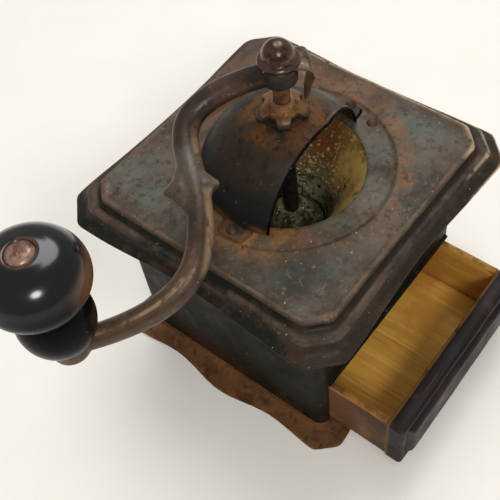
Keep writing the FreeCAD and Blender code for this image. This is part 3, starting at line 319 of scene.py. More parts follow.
# Finishes
def cover_paint():
    """Grey-green paint, rusty round the hopper and at the back, with painted shade towards the near side,
    over the moulding walls and in its hollows, and painted highlights on the bead, the ridge and along its
    far edges, partly rubbed wear.
    """
    paint = Finish("cover_paint", (86, 90, 81))
    paint.layer((54, 54, 47), paint.cloud(30, 0.42, 0.62))
    paint.layer((70, 55, 41), paint.cloud(24, 0.48, 0.64, distortion=0.8))
    paint.layer((44, 36, 28), paint.cloud(110, 0.52, 0.64))
    ring = paint.band(paint.radius(), 0.031, 0.036, 0.043, 0.053)
    leftward = paint.step(paint.axis("X"), 0.012, -0.024, 0.35, 1.0)
    paint.layer((100, 70, 42), paint.both(ring, leftward, paint.cloud(60, 0.26, 0.62)))
    outer_band = paint.band(paint.radius(), 0.0445, 0.046, 0.049, 0.055)
    rightward = paint.step(paint.axis("X"), -0.02, 0.02, 0.4, 1.0)
    paint.layer((118, 80, 48), paint.both(outer_band, rightward, paint.cloud(80, 0.38, 0.62)))
    near_tab = paint.step(paint.radius(-0.036, -0.016), 0.02, 0.008)
    paint.layer((142, 97, 53), paint.both(near_tab, paint.cloud(130, 0.38, 0.6)))
    across = paint.reckon("ADD", paint.axis("X"), paint.axis("Y"))
    back = paint.both(paint.step(across, 0.016, 0.062), paint.cloud(42, 0.3, 0.52))
    paint.layer((106, 71, 47), back)
    # Painted shade: darker towards the near side.
    paint.layer((48, 46, 39), paint.both(paint.step(across, -0.03, -0.09), paint.cloud(38, 0.34, 0.58)))
    square = paint.either(paint.away("X"), paint.away("Y"))
    border = paint.step(square, 0.046, 0.056)
    paint.layer((72, 58, 45), paint.both(border, paint.cloud(50, 0.36, 0.6)))
    outside = paint.step(paint.radius(), 0.048, 0.052)
    wall = paint.both(outside, paint.step(paint.axis("Z"), 0.1012, 0.1))
    # The flaring wall is near black, partly dark paint and partly painted shade, a little lighter on the
    # −Y side and lighter still on the far sides as painted light.
    paint.layer((30, 28, 21), wall)
    paint.layer((44, 35, 28), paint.both(wall, paint.step(paint.axis("Y"), -0.052, -0.058)))
    paint.layer((78, 61, 48), paint.both(wall, paint.step(across, -0.01, 0.05)))
    paint.layer((60, 44, 31), paint.both(wall, paint.cloud(70, 0.52, 0.66)))
    crest = paint.both(outside, paint.step(paint.axis("Z"), 0.1019, 0.1022))
    ridge = paint.both(outside, paint.band(paint.axis("Z"), 0.0969, 0.0974, 0.0979, 0.0982))
    # Painted highlights in rusty brown on the bead and the ridge, partly rubbed wear, with paler rubbed
    # edges on them.
    paint.layer((98, 76, 60), paint.both(crest, paint.cloud(60, 0.34, 0.54)))
    paint.layer((84, 66, 52), paint.both(ridge, paint.cloud(60, 0.42, 0.6)))
    bright = paint.both(paint.either(crest, ridge), paint.edges(0.53, 0.6), paint.cloud(90, 0.46, 0.62))
    paint.layer((156, 134, 110), bright)
    # Painted highlights on the edges of the far corner and the far side, partly rubbed wear.
    far_corner = paint.step(paint.reckon("SUBTRACT", paint.axis("X"), paint.axis("Y")), 0.096, 0.106)
    far_side = paint.step(paint.axis("X"), 0.055, 0.058)
    far = paint.either(far_corner, far_side)
    paint.layer((178, 156, 128), paint.both(far, paint.edges(0.512, 0.545), paint.cloud(160, 0.26, 0.5)))
    paint.layer((54, 49, 41), paint.cloud(300, 0.5, 0.74))
    flat = paint.step(paint.axis("Z"), 0.1, 0.101)
    paint.layer((104, 96, 82), paint.both(paint.cloud(420, 0.56, 0.74), flat))
    # Painted shade in the hollows of the moulding.
    paint.layer((27, 24, 19), paint.hollows())
    paint.layer((150, 140, 116), paint.cloud(560, 0.72, 0.76, detail=2.0))
    paint.relief(paint.noise(380), 0.16)
    paint.relief(paint.cloud(150, 0.5, 0.64), 0.12)
    return paint.done(paint.step(paint.noise(70), 0.3, 0.7, 0.34, 0.58), specular=0.17)


def hood_paint():
    """Blackened paint, brown above and rusty at its foot, paler on its right side as painted light, with a
    painted highlight strip by the cut edge, partly rubbed wear, and black painted shadow along the cut
    edge.
    """
    paint = Finish("hood_paint", (42, 38, 32))
    paint.layer((30, 30, 28), paint.step(paint.axis("Z"), 0.126, 0.112))
    upper = paint.step(paint.axis("Z"), 0.108, 0.128)
    paint.layer((56, 45, 34), paint.both(paint.cloud(50, 0.44, 0.6), upper))
    # Painted light: paler on the right side.
    right = paint.step(paint.axis("X"), 0.0, 0.02)
    paint.layer((82, 74, 63), paint.both(paint.cloud(34, 0.4, 0.58), right))
    crown = paint.band(paint.radius(), 0.006, 0.009, 0.014, 0.02)
    paint.layer((98, 64, 38), paint.both(crown, paint.cloud(100, 0.34, 0.6)))
    paint.layer((24, 22, 18), paint.cloud(150, 0.58, 0.76))
    foot = paint.step(paint.axis("Z"), 0.1055, 0.1022)
    paint.layer((98, 68, 41), paint.both(foot, paint.cloud(90, 0.28, 0.6)))
    past_turn = paint.reckon("MAXIMUM", paint.reckon("SUBTRACT", paint.axis("X"), HOOD_TURN * MM), 0.0)
    slanted = paint.reckon("MULTIPLY", past_turn, HOOD_SLOPE)
    behind = paint.reckon("SUBTRACT", paint.reckon("ADD", paint.axis("Y"), HOOD_FRONT * MM), slanted)
    # Painted highlight along the cut edge on the right, partly rubbed wear.
    strip = paint.band(behind, 0.0008, 0.0012, 0.0016, 0.0022)
    rightward = paint.step(paint.axis("X"), 0.004, 0.02)
    worn = paint.both(strip, rightward, paint.step(paint.axis("Z"), 0.103, 0.106))
    paint.layer((122, 104, 84), paint.both(worn, paint.cloud(120, 0.36, 0.56)))
    # Painted shadow: black along the cut edge, with roughness raised there.
    edge = paint.step(behind, 0.0013, 0.0007)
    paint.layer((8, 7, 6), edge)
    paint.layer((30, 28, 24), paint.cloud(320, 0.52, 0.74))
    paint.layer((78, 70, 58), paint.cloud(460, 0.62, 0.74))
    paint.layer((116, 104, 84), paint.cloud(600, 0.71, 0.75, detail=2.0))
    paint.relief(paint.noise(360), 0.14)
    patina = paint.step(paint.noise(80), 0.3, 0.7, 0.34, 0.56)
    return paint.done(paint.either(patina, paint.reckon("MULTIPLY", edge, 0.95)), specular=0.1)


def body_paint():
    """Nearly black paint, rusty low down."""
    paint = Finish("body_paint", (24, 23, 15))
    paint.layer((30, 26, 18), paint.cloud(40, 0.46, 0.64))
    paint.layer((17, 17, 11), paint.cloud(80, 0.48, 0.66))
    low = paint.step(paint.axis("Z"), 0.024, 0.004)
    paint.layer((56, 36, 22), paint.both(low, paint.cloud(60, 0.42, 0.62)))
    corner = paint.both(*(paint.step(paint.away(axis), 0.046, 0.052) for axis in "XY"))
    paint.layer((44, 37, 28), paint.both(corner, paint.cloud(60, 0.4, 0.66)))
    paint.layer((84, 78, 62), paint.cloud(480, 0.71, 0.75, detail=2.0))
    paint.relief(paint.noise(320), 0.12)
    return paint.done(paint.step(paint.noise(70), 0.3, 0.7, 0.38, 0.6), specular=0.1)


def base_steel():
    """Rust all over."""
    rust = Finish("base_steel", (106, 69, 39))
    rust.layer((70, 46, 28), rust.cloud(55, 0.48, 0.66))
    rust.layer((126, 84, 46), rust.cloud(120, 0.5, 0.66))
    rust.layer((58, 40, 26), rust.cloud(230, 0.54, 0.7))
    rust.layer((122, 90, 60), rust.both(rust.edges(), rust.cloud(140, 0.4, 0.6)))
    rust.relief(rust.noise(320), 0.22)
    rust.relief(rust.cloud(160, 0.5, 0.62), 0.14)
    return rust.done(rust.step(rust.noise(90), 0.3, 0.7, 0.5, 0.8), specular=0.2)


def bowl_steel():
    """Ochre steel with grit, paler towards the front as painted light, brown at the back as painted shade
    under the hood, and greenish below.
    """
    steel = Finish("bowl_steel", (128, 96, 52))
    # Painted light: paler ochre towards the front.
    ochre = steel.both(steel.cloud(60, 0.36, 0.56), steel.step(steel.axis("Y"), -0.004, -0.014))
    steel.layer((186, 154, 84), ochre)
    # Painted shade: brown towards the back, under the hood.
    steel.layer((108, 66, 38), steel.step(steel.axis("Y"), -0.012, -0.002))
    deep = steel.step(steel.axis("Z"), 0.088, 0.077)
    steel.layer((92, 88, 62), steel.both(deep, steel.cloud(90, 0.3, 0.56)))
    steel.layer((182, 152, 88), steel.cloud(480, 0.55, 0.64))
    steel.layer((66, 44, 27), steel.cloud(160, 0.58, 0.72))
    lower = steel.step(steel.axis("Z"), 0.094, 0.084)
    steel.layer((214, 194, 128), steel.both(lower, steel.cloud(700, 0.58, 0.66)))
    steel.relief(steel.noise(420), 0.14)
    return steel.done(steel.step(steel.noise(110), 0.3, 0.7, 0.36, 0.62), specular=0.3)


def old_steel(name, ground, dark, light, roughness=(0.34, 0.62), metallic=0.2, worn=False):
    """Small ironware: dark stains, pale rubbed spots and, on fine meshes, rubbed edges."""
    steel = Finish(name, ground)
    steel.layer(dark, steel.cloud(170, 0.46, 0.62))
    steel.layer(light, steel.cloud(420, 0.62, 0.7))
    if worn:
        steel.layer(light, steel.both(steel.edges(0.53, 0.62), steel.cloud(200, 0.36, 0.56)))
        steel.layer(dark, steel.hollows())
    steel.relief(steel.noise(600), 0.1)
    return steel.done(steel.step(steel.noise(150), 0.3, 0.7, *roughness), metallic=metallic, specular=0.3)


def burr_iron():
    """Greenish iron, darkened in patches and speckled by grit."""
    iron = Finish("burr_iron", (128, 124, 92))
    iron.layer((66, 66, 48), iron.cloud(170, 0.44, 0.62))
    iron.layer((40, 39, 29), iron.cloud(420, 0.5, 0.62))
    iron.layer((206, 196, 146), iron.cloud(820, 0.58, 0.66))
    iron.relief(iron.noise(700), 0.2)
    return iron.done(0.5, metallic=0.15, specular=0.3)


def shaft_steel():
    """Dark in the hopper, rusty between the crank and the adjusting nut."""
    steel = Finish("shaft_steel", (36, 33, 27))
    steel.layer((22, 20, 16), steel.cloud(170, 0.46, 0.62))
    top = steel.step(steel.axis("Z"), 0.128, 0.132)
    steel.layer((108, 70, 40), top)
    steel.layer((72, 46, 28), steel.both(top, steel.cloud(260, 0.46, 0.6)))
    steel.layer((76, 66, 52), steel.cloud(420, 0.64, 0.7))
    steel.relief(steel.noise(600), 0.1)
    return steel.done(0.5, metallic=0.15, specular=0.3)


def nut_steel():
    """Tan bell with dark drooping lobes."""
    steel = Finish("nut_steel", (122, 86, 52))
    steel.layer((92, 58, 32), steel.cloud(150, 0.46, 0.6))
    steel.layer((142, 108, 74), steel.cloud(420, 0.58, 0.68))
    steel.layer((56, 40, 29), steel.step(steel.axis("Z"), 0.135, 0.1337))
    steel.layer((28, 21, 16), steel.step(steel.axis("Z"), 0.1335, 0.1324))
    steel.layer((150, 120, 90), steel.both(steel.edges(0.54, 0.64), steel.cloud(200, 0.46, 0.62)))
    steel.layer((58, 38, 24), steel.hollows(0.36, 0.46))
    steel.relief(steel.noise(600), 0.12)
    return steel.done(steel.step(steel.noise(150), 0.3, 0.7, 0.36, 0.6), metallic=0.15, specular=0.3)


def crank_iron():
    """Dark iron, paler where the hand goes, with painted highlights, partly rubbed wear, on one flank of
    its outer half and along the top of the lower bow.
    """
    iron = Finish("crank_iron", (56, 43, 33))
    iron.layer((38, 30, 25), iron.cloud(40, 0.42, 0.64))
    iron.layer((74, 57, 45), iron.cloud(50, 0.5, 0.66))
    iron.layer((76, 55, 41), iron.cloud(36, 0.55, 0.68))
    at_leaf = iron.step(iron.radius(LEAF_X * MM, LEAF_Y * MM), 0.016, 0.007)
    iron.layer((88, 80, 71), iron.both(at_leaf, iron.cloud(60, 0.3, 0.56)))
    iron.layer((120, 97, 77), iron.both(iron.edges(0.52, 0.55), iron.cloud(90, 0.4, 0.6)))
    handled = iron.both(iron.step(iron.axis("X"), -0.04, -0.075), iron.cloud(46, 0.32, 0.54))
    iron.layer((80, 61, 46), handled)
    # Painted highlight, partly rubbed wear, on the flank facing +X and −Y of the outer half.
    outer_half = iron.step(iron.axis("X"), -0.02, -0.04)
    inside = iron.step(iron.facing((0.6, -0.72, 0.34)), 0.66, 0.92)
    iron.layer((140, 114, 88), iron.both(inside, outer_half, iron.cloud(80, 0.34, 0.56)))
    # Painted highlight along the top of the lower bow: a tan band with a pale core.
    crest = iron.facing((-0.45, -0.14, 0.88))
    lower_bow = iron.step(iron.axis("X"), -0.064, -0.078)
    iron.layer((92, 71, 54), iron.both(iron.step(crest, 0.86, 0.97), lower_bow))
    shine = iron.both(iron.step(crest, 0.97, 0.993), lower_bow)
    iron.layer((164, 138, 110), iron.both(shine, iron.cloud(90, 0.36, 0.56)))
    iron.layer((34, 27, 23), iron.hollows(0.47, 0.49))
    iron.layer((46, 34, 27), iron.cloud(220, 0.54, 0.76))
    iron.layer((104, 84, 68), iron.cloud(340, 0.6, 0.72))
    iron.layer((140, 118, 96), iron.cloud(460, 0.71, 0.75, detail=2.0))
    iron.layer((46, 36, 30), iron.both(iron.step(iron.radius(), 0.0085, 0.0075), iron.cloud(90, 0.3, 0.5)))
    iron.relief(iron.noise(420), 0.12)
    iron.relief(iron.noise(120, detail=2.0), 0.1)
    return iron.done(iron.step(iron.noise(120), 0.3, 0.7, 0.28, 0.46), metallic=0.25, specular=0.34)


def knob_lacquer():
    """Black lacquer, brown where it is rubbed and still glossy on top."""
    wood = Finish("knob_lacquer", (11, 9, 10))
    wood.layer((20, 15, 16), wood.cloud(50, 0.5, 0.7))
    belly = wood.band(wood.axis("Z"), 0.1405, 0.144, 0.15, 0.1545)
    disc = wood.band(wood.axis("Z"), 0.116, 0.119, 0.124, 0.128)
    across = wood.reckon("SUBTRACT", wood.axis("X"), wood.axis("Y"))
    far_side = wood.step(across, (KNOB_X - KNOB_Y + 16) * MM, (KNOB_X - KNOB_Y + 26) * MM)
    wood.layer((104, 74, 54), wood.both(wood.either(belly, disc), far_side, wood.cloud(46, 0.3, 0.52)))
    rim = wood.band(wood.radius(KNOB_X * MM, KNOB_Y * MM), 0.004, 0.0047, 0.0054, 0.0068)
    crown = wood.both(rim, wood.step(wood.axis("Z"), 0.157, 0.159))
    wood.layer((74, 52, 40), wood.both(crown, wood.cloud(160, 0.36, 0.56)))
    wood.layer((58, 42, 34), wood.cloud(300, 0.68, 0.73))
    wood.relief(wood.noise(240, stretch=(1, 1, 5)), 0.03)
    lacquer = wood.step(wood.axis("Z"), 0.146, 0.155)
    return wood.done(wood.step(wood.noise(90), 0.35, 0.7, 0.2, 0.3), specular=0.06, coat=lacquer)


def drawer_wood(name, along, ground):
    """Bare pine with its grain along one axis, stained outside and near the front."""
    stretch = tuple(0.05 if axis == along else 1.0 for axis in "XYZ")
    wood = Finish(name, ground)
    wood.layer((202, 146, 60), wood.cloud(150, 0.42, 0.66, stretch=stretch, distortion=0.5))
    wood.layer((228, 176, 88), wood.cloud(300, 0.52, 0.68, stretch=stretch))
    wood.layer((184, 128, 52), wood.cloud(620, 0.58, 0.7, stretch=stretch))
    wood.layer((194, 138, 58), wood.cloud(26, 0.5, 0.68))
    wood.layer((124, 82, 40), wood.both(wood.edges(0.53, 0.6), wood.cloud(70, 0.36, 0.56)))
    outside = wood.step(wood.away("X"), 0.0466, 0.047)
    wood.layer((104, 67, 37), wood.both(outside, wood.cloud(40, 0.0, 0.5)))
    near_front = wood.step(wood.axis("Y"), -0.05, -0.08)
    wood.layer((64, 45, 31), wood.both(outside, near_front, wood.cloud(50, 0.2, 0.6)))
    top_edge = wood.step(wood.axis("Z"), 0.0352, 0.0358)
    wood.layer((104, 66, 34), wood.both(top_edge, wood.cloud(60, 0.36, 0.56)))
    wood.relief(wood.noise(560, stretch=stretch), 0.12)
    return wood.done(wood.step(wood.noise(80), 0.3, 0.7, 0.5, 0.72), specular=0.25)


def front_paint():
    """Dark stain over a grain that runs across."""
    stretch = (0.07, 1, 1)
    paint = Finish("front_paint", (42, 34, 32))
    paint.layer((26, 22, 23), paint.cloud(160, 0.4, 0.6, stretch=stretch))
    paint.layer((58, 46, 36), paint.cloud(60, 0.54, 0.68))
    paint.layer((84, 64, 44), paint.cloud(500, 0.65, 0.72, stretch=stretch))
    inner = paint.both(paint.step(paint.axis("Y"), -0.0835, -0.0822), paint.cloud(70, 0.34, 0.5))
    paint.layer((120, 82, 45), inner)
    paint.layer((112, 88, 60), paint.both(paint.edges(0.54, 0.62), paint.cloud(80, 0.48, 0.62)))
    paint.layer((18, 15, 14), paint.hollows())
    paint.relief(paint.noise(500, stretch=stretch), 0.14)
    return paint.done(paint.step(paint.noise(80), 0.3, 0.7, 0.38, 0.58), specular=0.16)


COVER_PAINT = cover_paint()
HOOD_PAINT = hood_paint()
BODY_PAINT = body_paint()
BASE_STEEL = base_steel()
BOWL_STEEL = bowl_steel()
CRANK_IRON = crank_iron()
KNOB_LACQUER = knob_lacquer()
SIDE_WOOD = drawer_wood("side_wood", "Y", (218, 162, 70))
BACK_WOOD = drawer_wood("back_wood", "X", (202, 148, 62))
FRONT_PAINT = front_paint()
RIVET_STEEL = old_steel("rivet_steel", (74, 56, 42), (46, 34, 25), (118, 92, 68))
BUSH_STEEL = old_steel("bush_steel", (70, 50, 36), (42, 31, 23), (104, 80, 58))
CAST_IRON = old_steel("cast_iron", (54, 47, 38), (34, 29, 23), (82, 68, 52))
BURR_IRON = burr_iron()
SHAFT_STEEL = shaft_steel()
NUT_STEEL = nut_steel()
PAWL_STEEL = old_steel("pawl_steel", (92, 70, 55), (58, 42, 32), (142, 114, 92), worn=True)
CAP_STEEL = old_steel("cap_steel", (96, 75, 63), (60, 44, 36), (128, 104, 88), (0.16, 0.28), 0.7)
PIN_STEEL = old_steel("pin_steel", (152, 122, 104), (100, 70, 55), (200, 172, 152), (0.2, 0.36), 0.35)
NAIL_STEEL = old_steel("nail_steel", (66, 52, 40), (40, 31, 24), (104, 86, 68))

LOOKS = {
    "base_plate": BASE_STEEL,
    "body_shell": BODY_PAINT,
    "top_cover": COVER_PAINT,
    "hopper_bowl": BOWL_STEEL,
    "hood": HOOD_PAINT,
    "hood_rivets": RIVET_STEEL,
    "hood_bush": BUSH_STEEL,
    "burr_carrier": CAST_IRON,
    "burr_ring": BURR_IRON,
    "inner_burr": BURR_IRON,
    "burr_pin": SHAFT_STEEL,
    "lower_bridge": CAST_IRON,
    "guide_bush": BUSH_STEEL,
    "bridge_screws": RIVET_STEEL,
    "shaft": SHAFT_STEEL,
    "thrust_washer": BUSH_STEEL,
    "adjusting_nut": NUT_STEEL,
    "pawl_spring": PAWL_STEEL,
    "crank_arm": CRANK_IRON,
    "cap_nut": CAP_STEEL,
    "crank_knob": KNOB_LACQUER,
    "knob_pin": PIN_STEEL,
    "knob_washer": BUSH_STEEL,
    "drawer_front": FRONT_PAINT,
    "drawer_left_side": SIDE_WOOD,
    "drawer_right_side": SIDE_WOOD,
    "drawer_back": BACK_WOOD,
    "drawer_bottom": SIDE_WOOD,
    "drawer_nails": NAIL_STEEL,
    "drawer_runners": CAST_IRON,
}
for node_name, finish in LOOKS.items():
    for place in nodes[node_name].material_slots:
        place.material = finish


# Ways to make meshes
def piece(name, mesh, finish, body, slot, *stands_for):
    """A finished bmesh, in millimetres, as an object that rides on a body and stands for CAD nodes."""
    bmesh.ops.scale(mesh, vec=(MM, MM, MM), verts=mesh.verts)
    bmesh.ops.recalc_face_normals(mesh, faces=mesh.faces)
    data = bpy.data.meshes.new(name)
    mesh.to_mesh(data)
    mesh.free()
    data.shade_smooth()
    data.set_sharp_from_angle(angle=math.radians(SHARP_ANGLE))
    data.materials.append(finish)
    thing = bpy.data.objects.new(name, data)
    bpy.context.scene.collection.objects.link(thing)
    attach(thing, body)
    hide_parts(*stands_for)
    return thing


def settle(thing, sharp=SHARP_ANGLE):
    """Applies the modifiers and marks edges sharper than an angle, in degrees."""
    shown = thing.evaluated_get(bpy.context.evaluated_depsgraph_get())
    data = bpy.data.meshes.new_from_object(shown)
    thing.modifiers.clear()
    thing.data = data
    data.shade_smooth()
    data.set_sharp_from_angle(angle=math.radians(sharp))


def thicken(thing, thickness):
    """Gives a sheet its thickness, inwards."""
    sheet = thing.modifiers.new("sheet", "SOLIDIFY")
    sheet.thickness = thickness * MM
    sheet.offset = -1


def skin(mesh, rows):
    """Faces between closed rows of points that have the same count."""
    verts = [[mesh.verts.new(point) for point in row] for row in rows]
    for row, after in zip(verts, verts[1:]):
        for index in range(len(row)):
            onward = (index + 1) % len(row)
            mesh.faces.new((row[index], row[onward], after[onward], after[index]))
    return verts


def solid(mesh, rows):
    """Skin closed at both ends."""
    verts = skin(mesh, rows)
    mesh.faces.new(verts[0])
    mesh.faces.new(verts[-1])


def eased(points, passes):
    """A closed loop of points with its corners rounded."""
    for _ in range(passes):
        before = points[-1:] + points[:-1]
        after = points[1:] + points[:1]
        points = [(left + point * 2 + right) / 4 for left, point, right in zip(before, points, after)]
    return points


def dented(point, size, depth):
    """A point shifted by smooth unevenness of the given size and depth."""
    return point + noise.noise_vector(point / size) * depth


def octagon(half, chamfer, z, swell, scoop=0.0):
    """Square with cut corners whose sides bulge by swell and hollow by scoop beside the corners."""
    reach = half - chamfer
    points = []
    for quarter in range(4):
        turn = Matrix.Rotation(quarter * math.pi / 2, 3, "Z")
        for index in range(SIDE_POINTS + 1):
            along = 2 * index / SIDE_POINTS - 1
            bulge = swell * (1 + math.cos(math.pi * along)) / 2 - scoop * math.sin(math.pi * along) ** 2
            points.append(turn @ Vector((half + bulge, reach * along, z)))
        for index in range(1, CORNER_POINTS):
            cut = chamfer * index / CORNER_POINTS
            points.append(turn @ Vector((half - cut, reach + cut, z)))
    return eased(points, 1)


def rectangle(low, high, spacing):
    """Loop of evenly spaced points round a flat rectangle, with its corners eased."""
    corners = [Vector(low), Vector((high[0], low[1])), Vector(high), Vector((low[0], high[1]))]
    points = []
    for start, end in zip(corners, corners[1:] + corners[:1]):
        count = max(2, round((end - start).length / spacing))
        points += [start.lerp(end, index / count) for index in range(count)]
    return eased(points, 1)


def arc(start, end, bulge, count):
    """Points on the arc from start to end that stands out by bulge to the right of the way."""
    start, end = Vector(start), Vector(end)
    half = (end - start).length / 2
    radius = (half * half + bulge * bulge) / (2 * bulge)
    onward = (end - start).normalized()
    outward = Vector((onward.y, -onward.x))
    centre = (start + end) / 2 - outward * (radius - bulge)
    open_angle = math.asin(min(half / radius, 1.0))
    if bulge > half:
        open_angle = math.pi - open_angle
    points = []
    for index in range(count + 1):
        angle = open_angle * (2 * index / count - 1)
        points.append(centre + (outward * math.cos(angle) + onward * math.sin(angle)) * radius)
    return points


def turned(profile, segments, x=0.0, y=0.0):
    """Rows of a surface of revolution about an upright line, from (radius, height) points."""
    rows = []
    for radius, z in profile:
        ring = []
        for index in range(segments):
            angle = 2 * math.pi * index / segments
            ring.append(Vector((x + radius * math.cos(angle), y + radius * math.sin(angle), z)))
        rows.append(ring)
    return rows


def smooth_line(spots, steps):
    """Points on a line of steadily changing bend through the spots."""
    gaps = [(end - start).length for start, end in zip(spots, spots[1:])]
    bends = [spots[0] * 0 for _ in spots]
    for _ in range(CURVE_PASSES):
        for i in range(1, len(spots) - 1):
            before, after = gaps[i - 1], gaps[i]
            pull = (spots[i + 1] - spots[i]) / after - (spots[i] - spots[i - 1]) / before
            bends[i] = (pull * 6 - bends[i - 1] * before - bends[i + 1] * after) / (2 * (before + after))
    points = []
    for i, gap in enumerate(gaps):
        for index in range(steps):
            done = gap * index / steps
            left = gap - done
            point = (bends[i] * left ** 3 + bends[i + 1] * done ** 3) / (6 * gap)
            point += (spots[i] / gap - bends[i] * gap / 6) * left
            points.append(point + (spots[i + 1] / gap - bends[i + 1] * gap / 6) * done)
    return points + [spots[-1]]


def tube(mesh, line, radii):
    """Round bar along a line, closed at both ends."""
    rows = []
    for index, (point, radius) in enumerate(zip(line, radii)):
        onward = (line[min(index + 1, len(line) - 1)] - line[max(index - 1, 0)]).normalized()
        sideways = onward.cross(Vector((0, 0, 1))).normalized()
        upward = sideways.cross(onward)
        ring = []
        for side in range(ARM_SIDES):
            angle = 2 * math.pi * side / ARM_SIDES
            ring.append(point + (sideways * math.cos(angle) + upward * math.sin(angle)) * radius)
        rows.append(ring)
    solid(mesh, rows)


def drum(mesh, x, y, radius, low, high, soft):
    """Short upright cylinder with rounded edges."""
    inner, rim = radius - soft, radius - soft * 0.3
    lower = [(inner, low), (rim, low + soft * 0.3), (radius, low + soft)]
    upper = [(radius, high - soft), (rim, high - soft * 0.3), (inner, high)]
    solid(mesh, turned(lower + upper, DRUM_SEGMENTS, x, y))


def plank(mesh, low, high, along):
    """Board with eased edges and a slightly uneven surface, its grain along one axis."""
    first, second = [axis for axis in range(3) if axis != along]
    start, end = low[along], high[along]
    count = round((end - start) / BOARD_STEP)
    places = [(start, BOARD_SOFT), (start + BOARD_SOFT, 0.0)]
    places += [(start + (end - start) * index / count, 0.0) for index in range(1, count)]
    places += [(end - BOARD_SOFT, 0.0), (end, BOARD_SOFT)]
    rows = []
    for place, inset in places:
        row = []
        for point in rectangle((low[first], low[second]), (high[first], high[second]), BOARD_SPACING):
            spot = Vector((0, 0, 0))
            spot[first] = min(max(point.x, low[first] + inset), high[first] - inset)
            spot[second] = min(max(point.y, low[second] + inset), high[second] - inset)
            spot[along] = place
            row.append(dented(spot, *BOARD_DENTS))
        rows.append(row)
    solid(mesh, rows)


# Top cover: one pressed sheet from the hopper mouth over the sunk ring to the flaring rim
def moulding():
    """Reach and drop of the moulding: raised bead, hollow, rounded ridge, flaring wall and lip."""
    bead = [(-BEAD_INSET, 0.0), (-2.6, 0.12), (-1.9, 0.0), (-1.2, -0.3), (-0.5, -0.36), (0.1, -0.1)]
    hollow = [(0.5, 0.5), (0.6, 1.3), (0.6, 2.1), (0.8, 2.9), (1.3, 3.5), (2.1, 3.9), (3.1, 4.1)]
    ridge = [(4.2, 4.05), (5.0, 4.15), (5.6, 4.55), (6.0, 5.2), (6.15, 6.0)]
    wall = [(6.4, 6.9), (6.9, 7.8), (7.7, 8.6), (8.7, 9.2), (9.7, 9.65), (10.5, 9.95)]
    return bead + hollow + ridge + wall + [(RIM_OUT, 10.3), (RIM_OUT, 10.7)]


def make_cover():
    plan = octagon(TOP_HALF - BEAD_INSET, TOP_CHAMFER, TOP_Z, 0.0)
    angles = [math.atan2(point.y, point.x) for point in plan]

    def ring(radius, z):
        return [Vector((radius * math.cos(angle), radius * math.sin(angle), z)) for angle in angles]

    rows = [ring(MOUTH_RADIUS, RING_FLOOR - 0.4), ring(MOUTH_RADIUS + 0.5, RING_FLOOR)]
    rows += [ring(MOUTH_RADIUS + out, RING_FLOOR) for out in (2, 4, 6, 8, 10)]
    rows += [ring(RING_RADIUS - 0.5, RING_FLOOR + 0.08), ring(RING_RADIUS + 0.1, RING_FLOOR + 0.5)]
    rows += [ring(RING_RADIUS + 0.7, TOP_Z - 0.08), ring(RING_RADIUS + 1.4, TOP_Z)]
    outer = rows[-1]
    steps = 8
    for index in range(1, steps):
        rows.append([inside.lerp(outside, index / steps) for inside, outside in zip(outer, plan)])
    for reach, drop in moulding():
        share = max(reach, 0.0) / RIM_OUT
        chamfer = TOP_CHAMFER + share * (RIM_CHAMFER - TOP_CHAMFER)
        rows.append(octagon(TOP_HALF + reach, chamfer, TOP_Z - drop, -share * RIM_BOW))
    mesh = bmesh.new()
    skin(mesh, [[dented(point, *COVER_DENTS) for point in row] for row in rows])
    cover = piece("cover_sheet", mesh, COVER_PAINT, "housing", "cover_paint", "top_cover")
    thicken(cover, SHEET)
    settle(cover, sharp=70)


# Base: flared, wavy sheet round the box
def make_base():
    upright = ((0.0, SHEET), (0.2, BASE_RISE - 0.3), (0.8, BASE_RISE))
    rows = [octagon(BASE_INNER + out, BASE_INNER_CHAMFER, z, 0.0) for out, z in upright]
    steps = 10
    for index in range(steps + 1):
        angle = math.pi / 2 * (1 - index / steps)
        half = BASE_HALF - (BASE_HALF - BASE_RIDGE) * math.sin(angle)
        share = (half - BASE_RIDGE) / (BASE_HALF - BASE_RIDGE)
        z = SHEET + (BASE_RISE - SHEET) * (1 - math.cos(angle))
        chamfer = BASE_CHAMFER + BASE_CORNER_FLARE * share
        rows.append(octagon(half, chamfer, z, BASE_SWELL * share, BASE_SCOOP * share))
    mesh = bmesh.new()
    verts = skin(mesh, [[dented(point, *BASE_DENTS) for point in row] for row in rows])
    mesh.faces.new(verts[0])
    base = piece("base_sheet", mesh, BASE_STEEL, "housing", "base_steel", "base_plate")
    thicken(base, SHEET * 0.8)
    settle(base)


# Hood: half-open dome of thick sheet, with a rounded cut edge and riveted tabs
def tab(mesh, corners):
    """Low plate on the sunk ring, with rounded corners and sloping sides."""
    steps = 8
    plan = []
    for start, end in zip(corners, corners[1:] + corners[:1]):
        plan += [Vector(start).lerp(Vector(end), index / steps) for index in range(steps)]
    plan = eased(plan, 3)
    middle = sum(plan, Vector((0, 0))) / len(plan)
    side = [(0.04, 0.0), (0.0, 0.1), (0.02, 0.35), (0.08, 0.7), (0.16, 0.95), (0.28, 1.12)]
    rows = []
    for inset, lift in side + [(0.42, HOOD_SHEET)]:
        loop = [point.lerp(middle, inset) for point in plan]
        rows.append([Vector((point.x, point.y, RING_FLOOR + lift)) for point in loop])
    solid(mesh, rows)


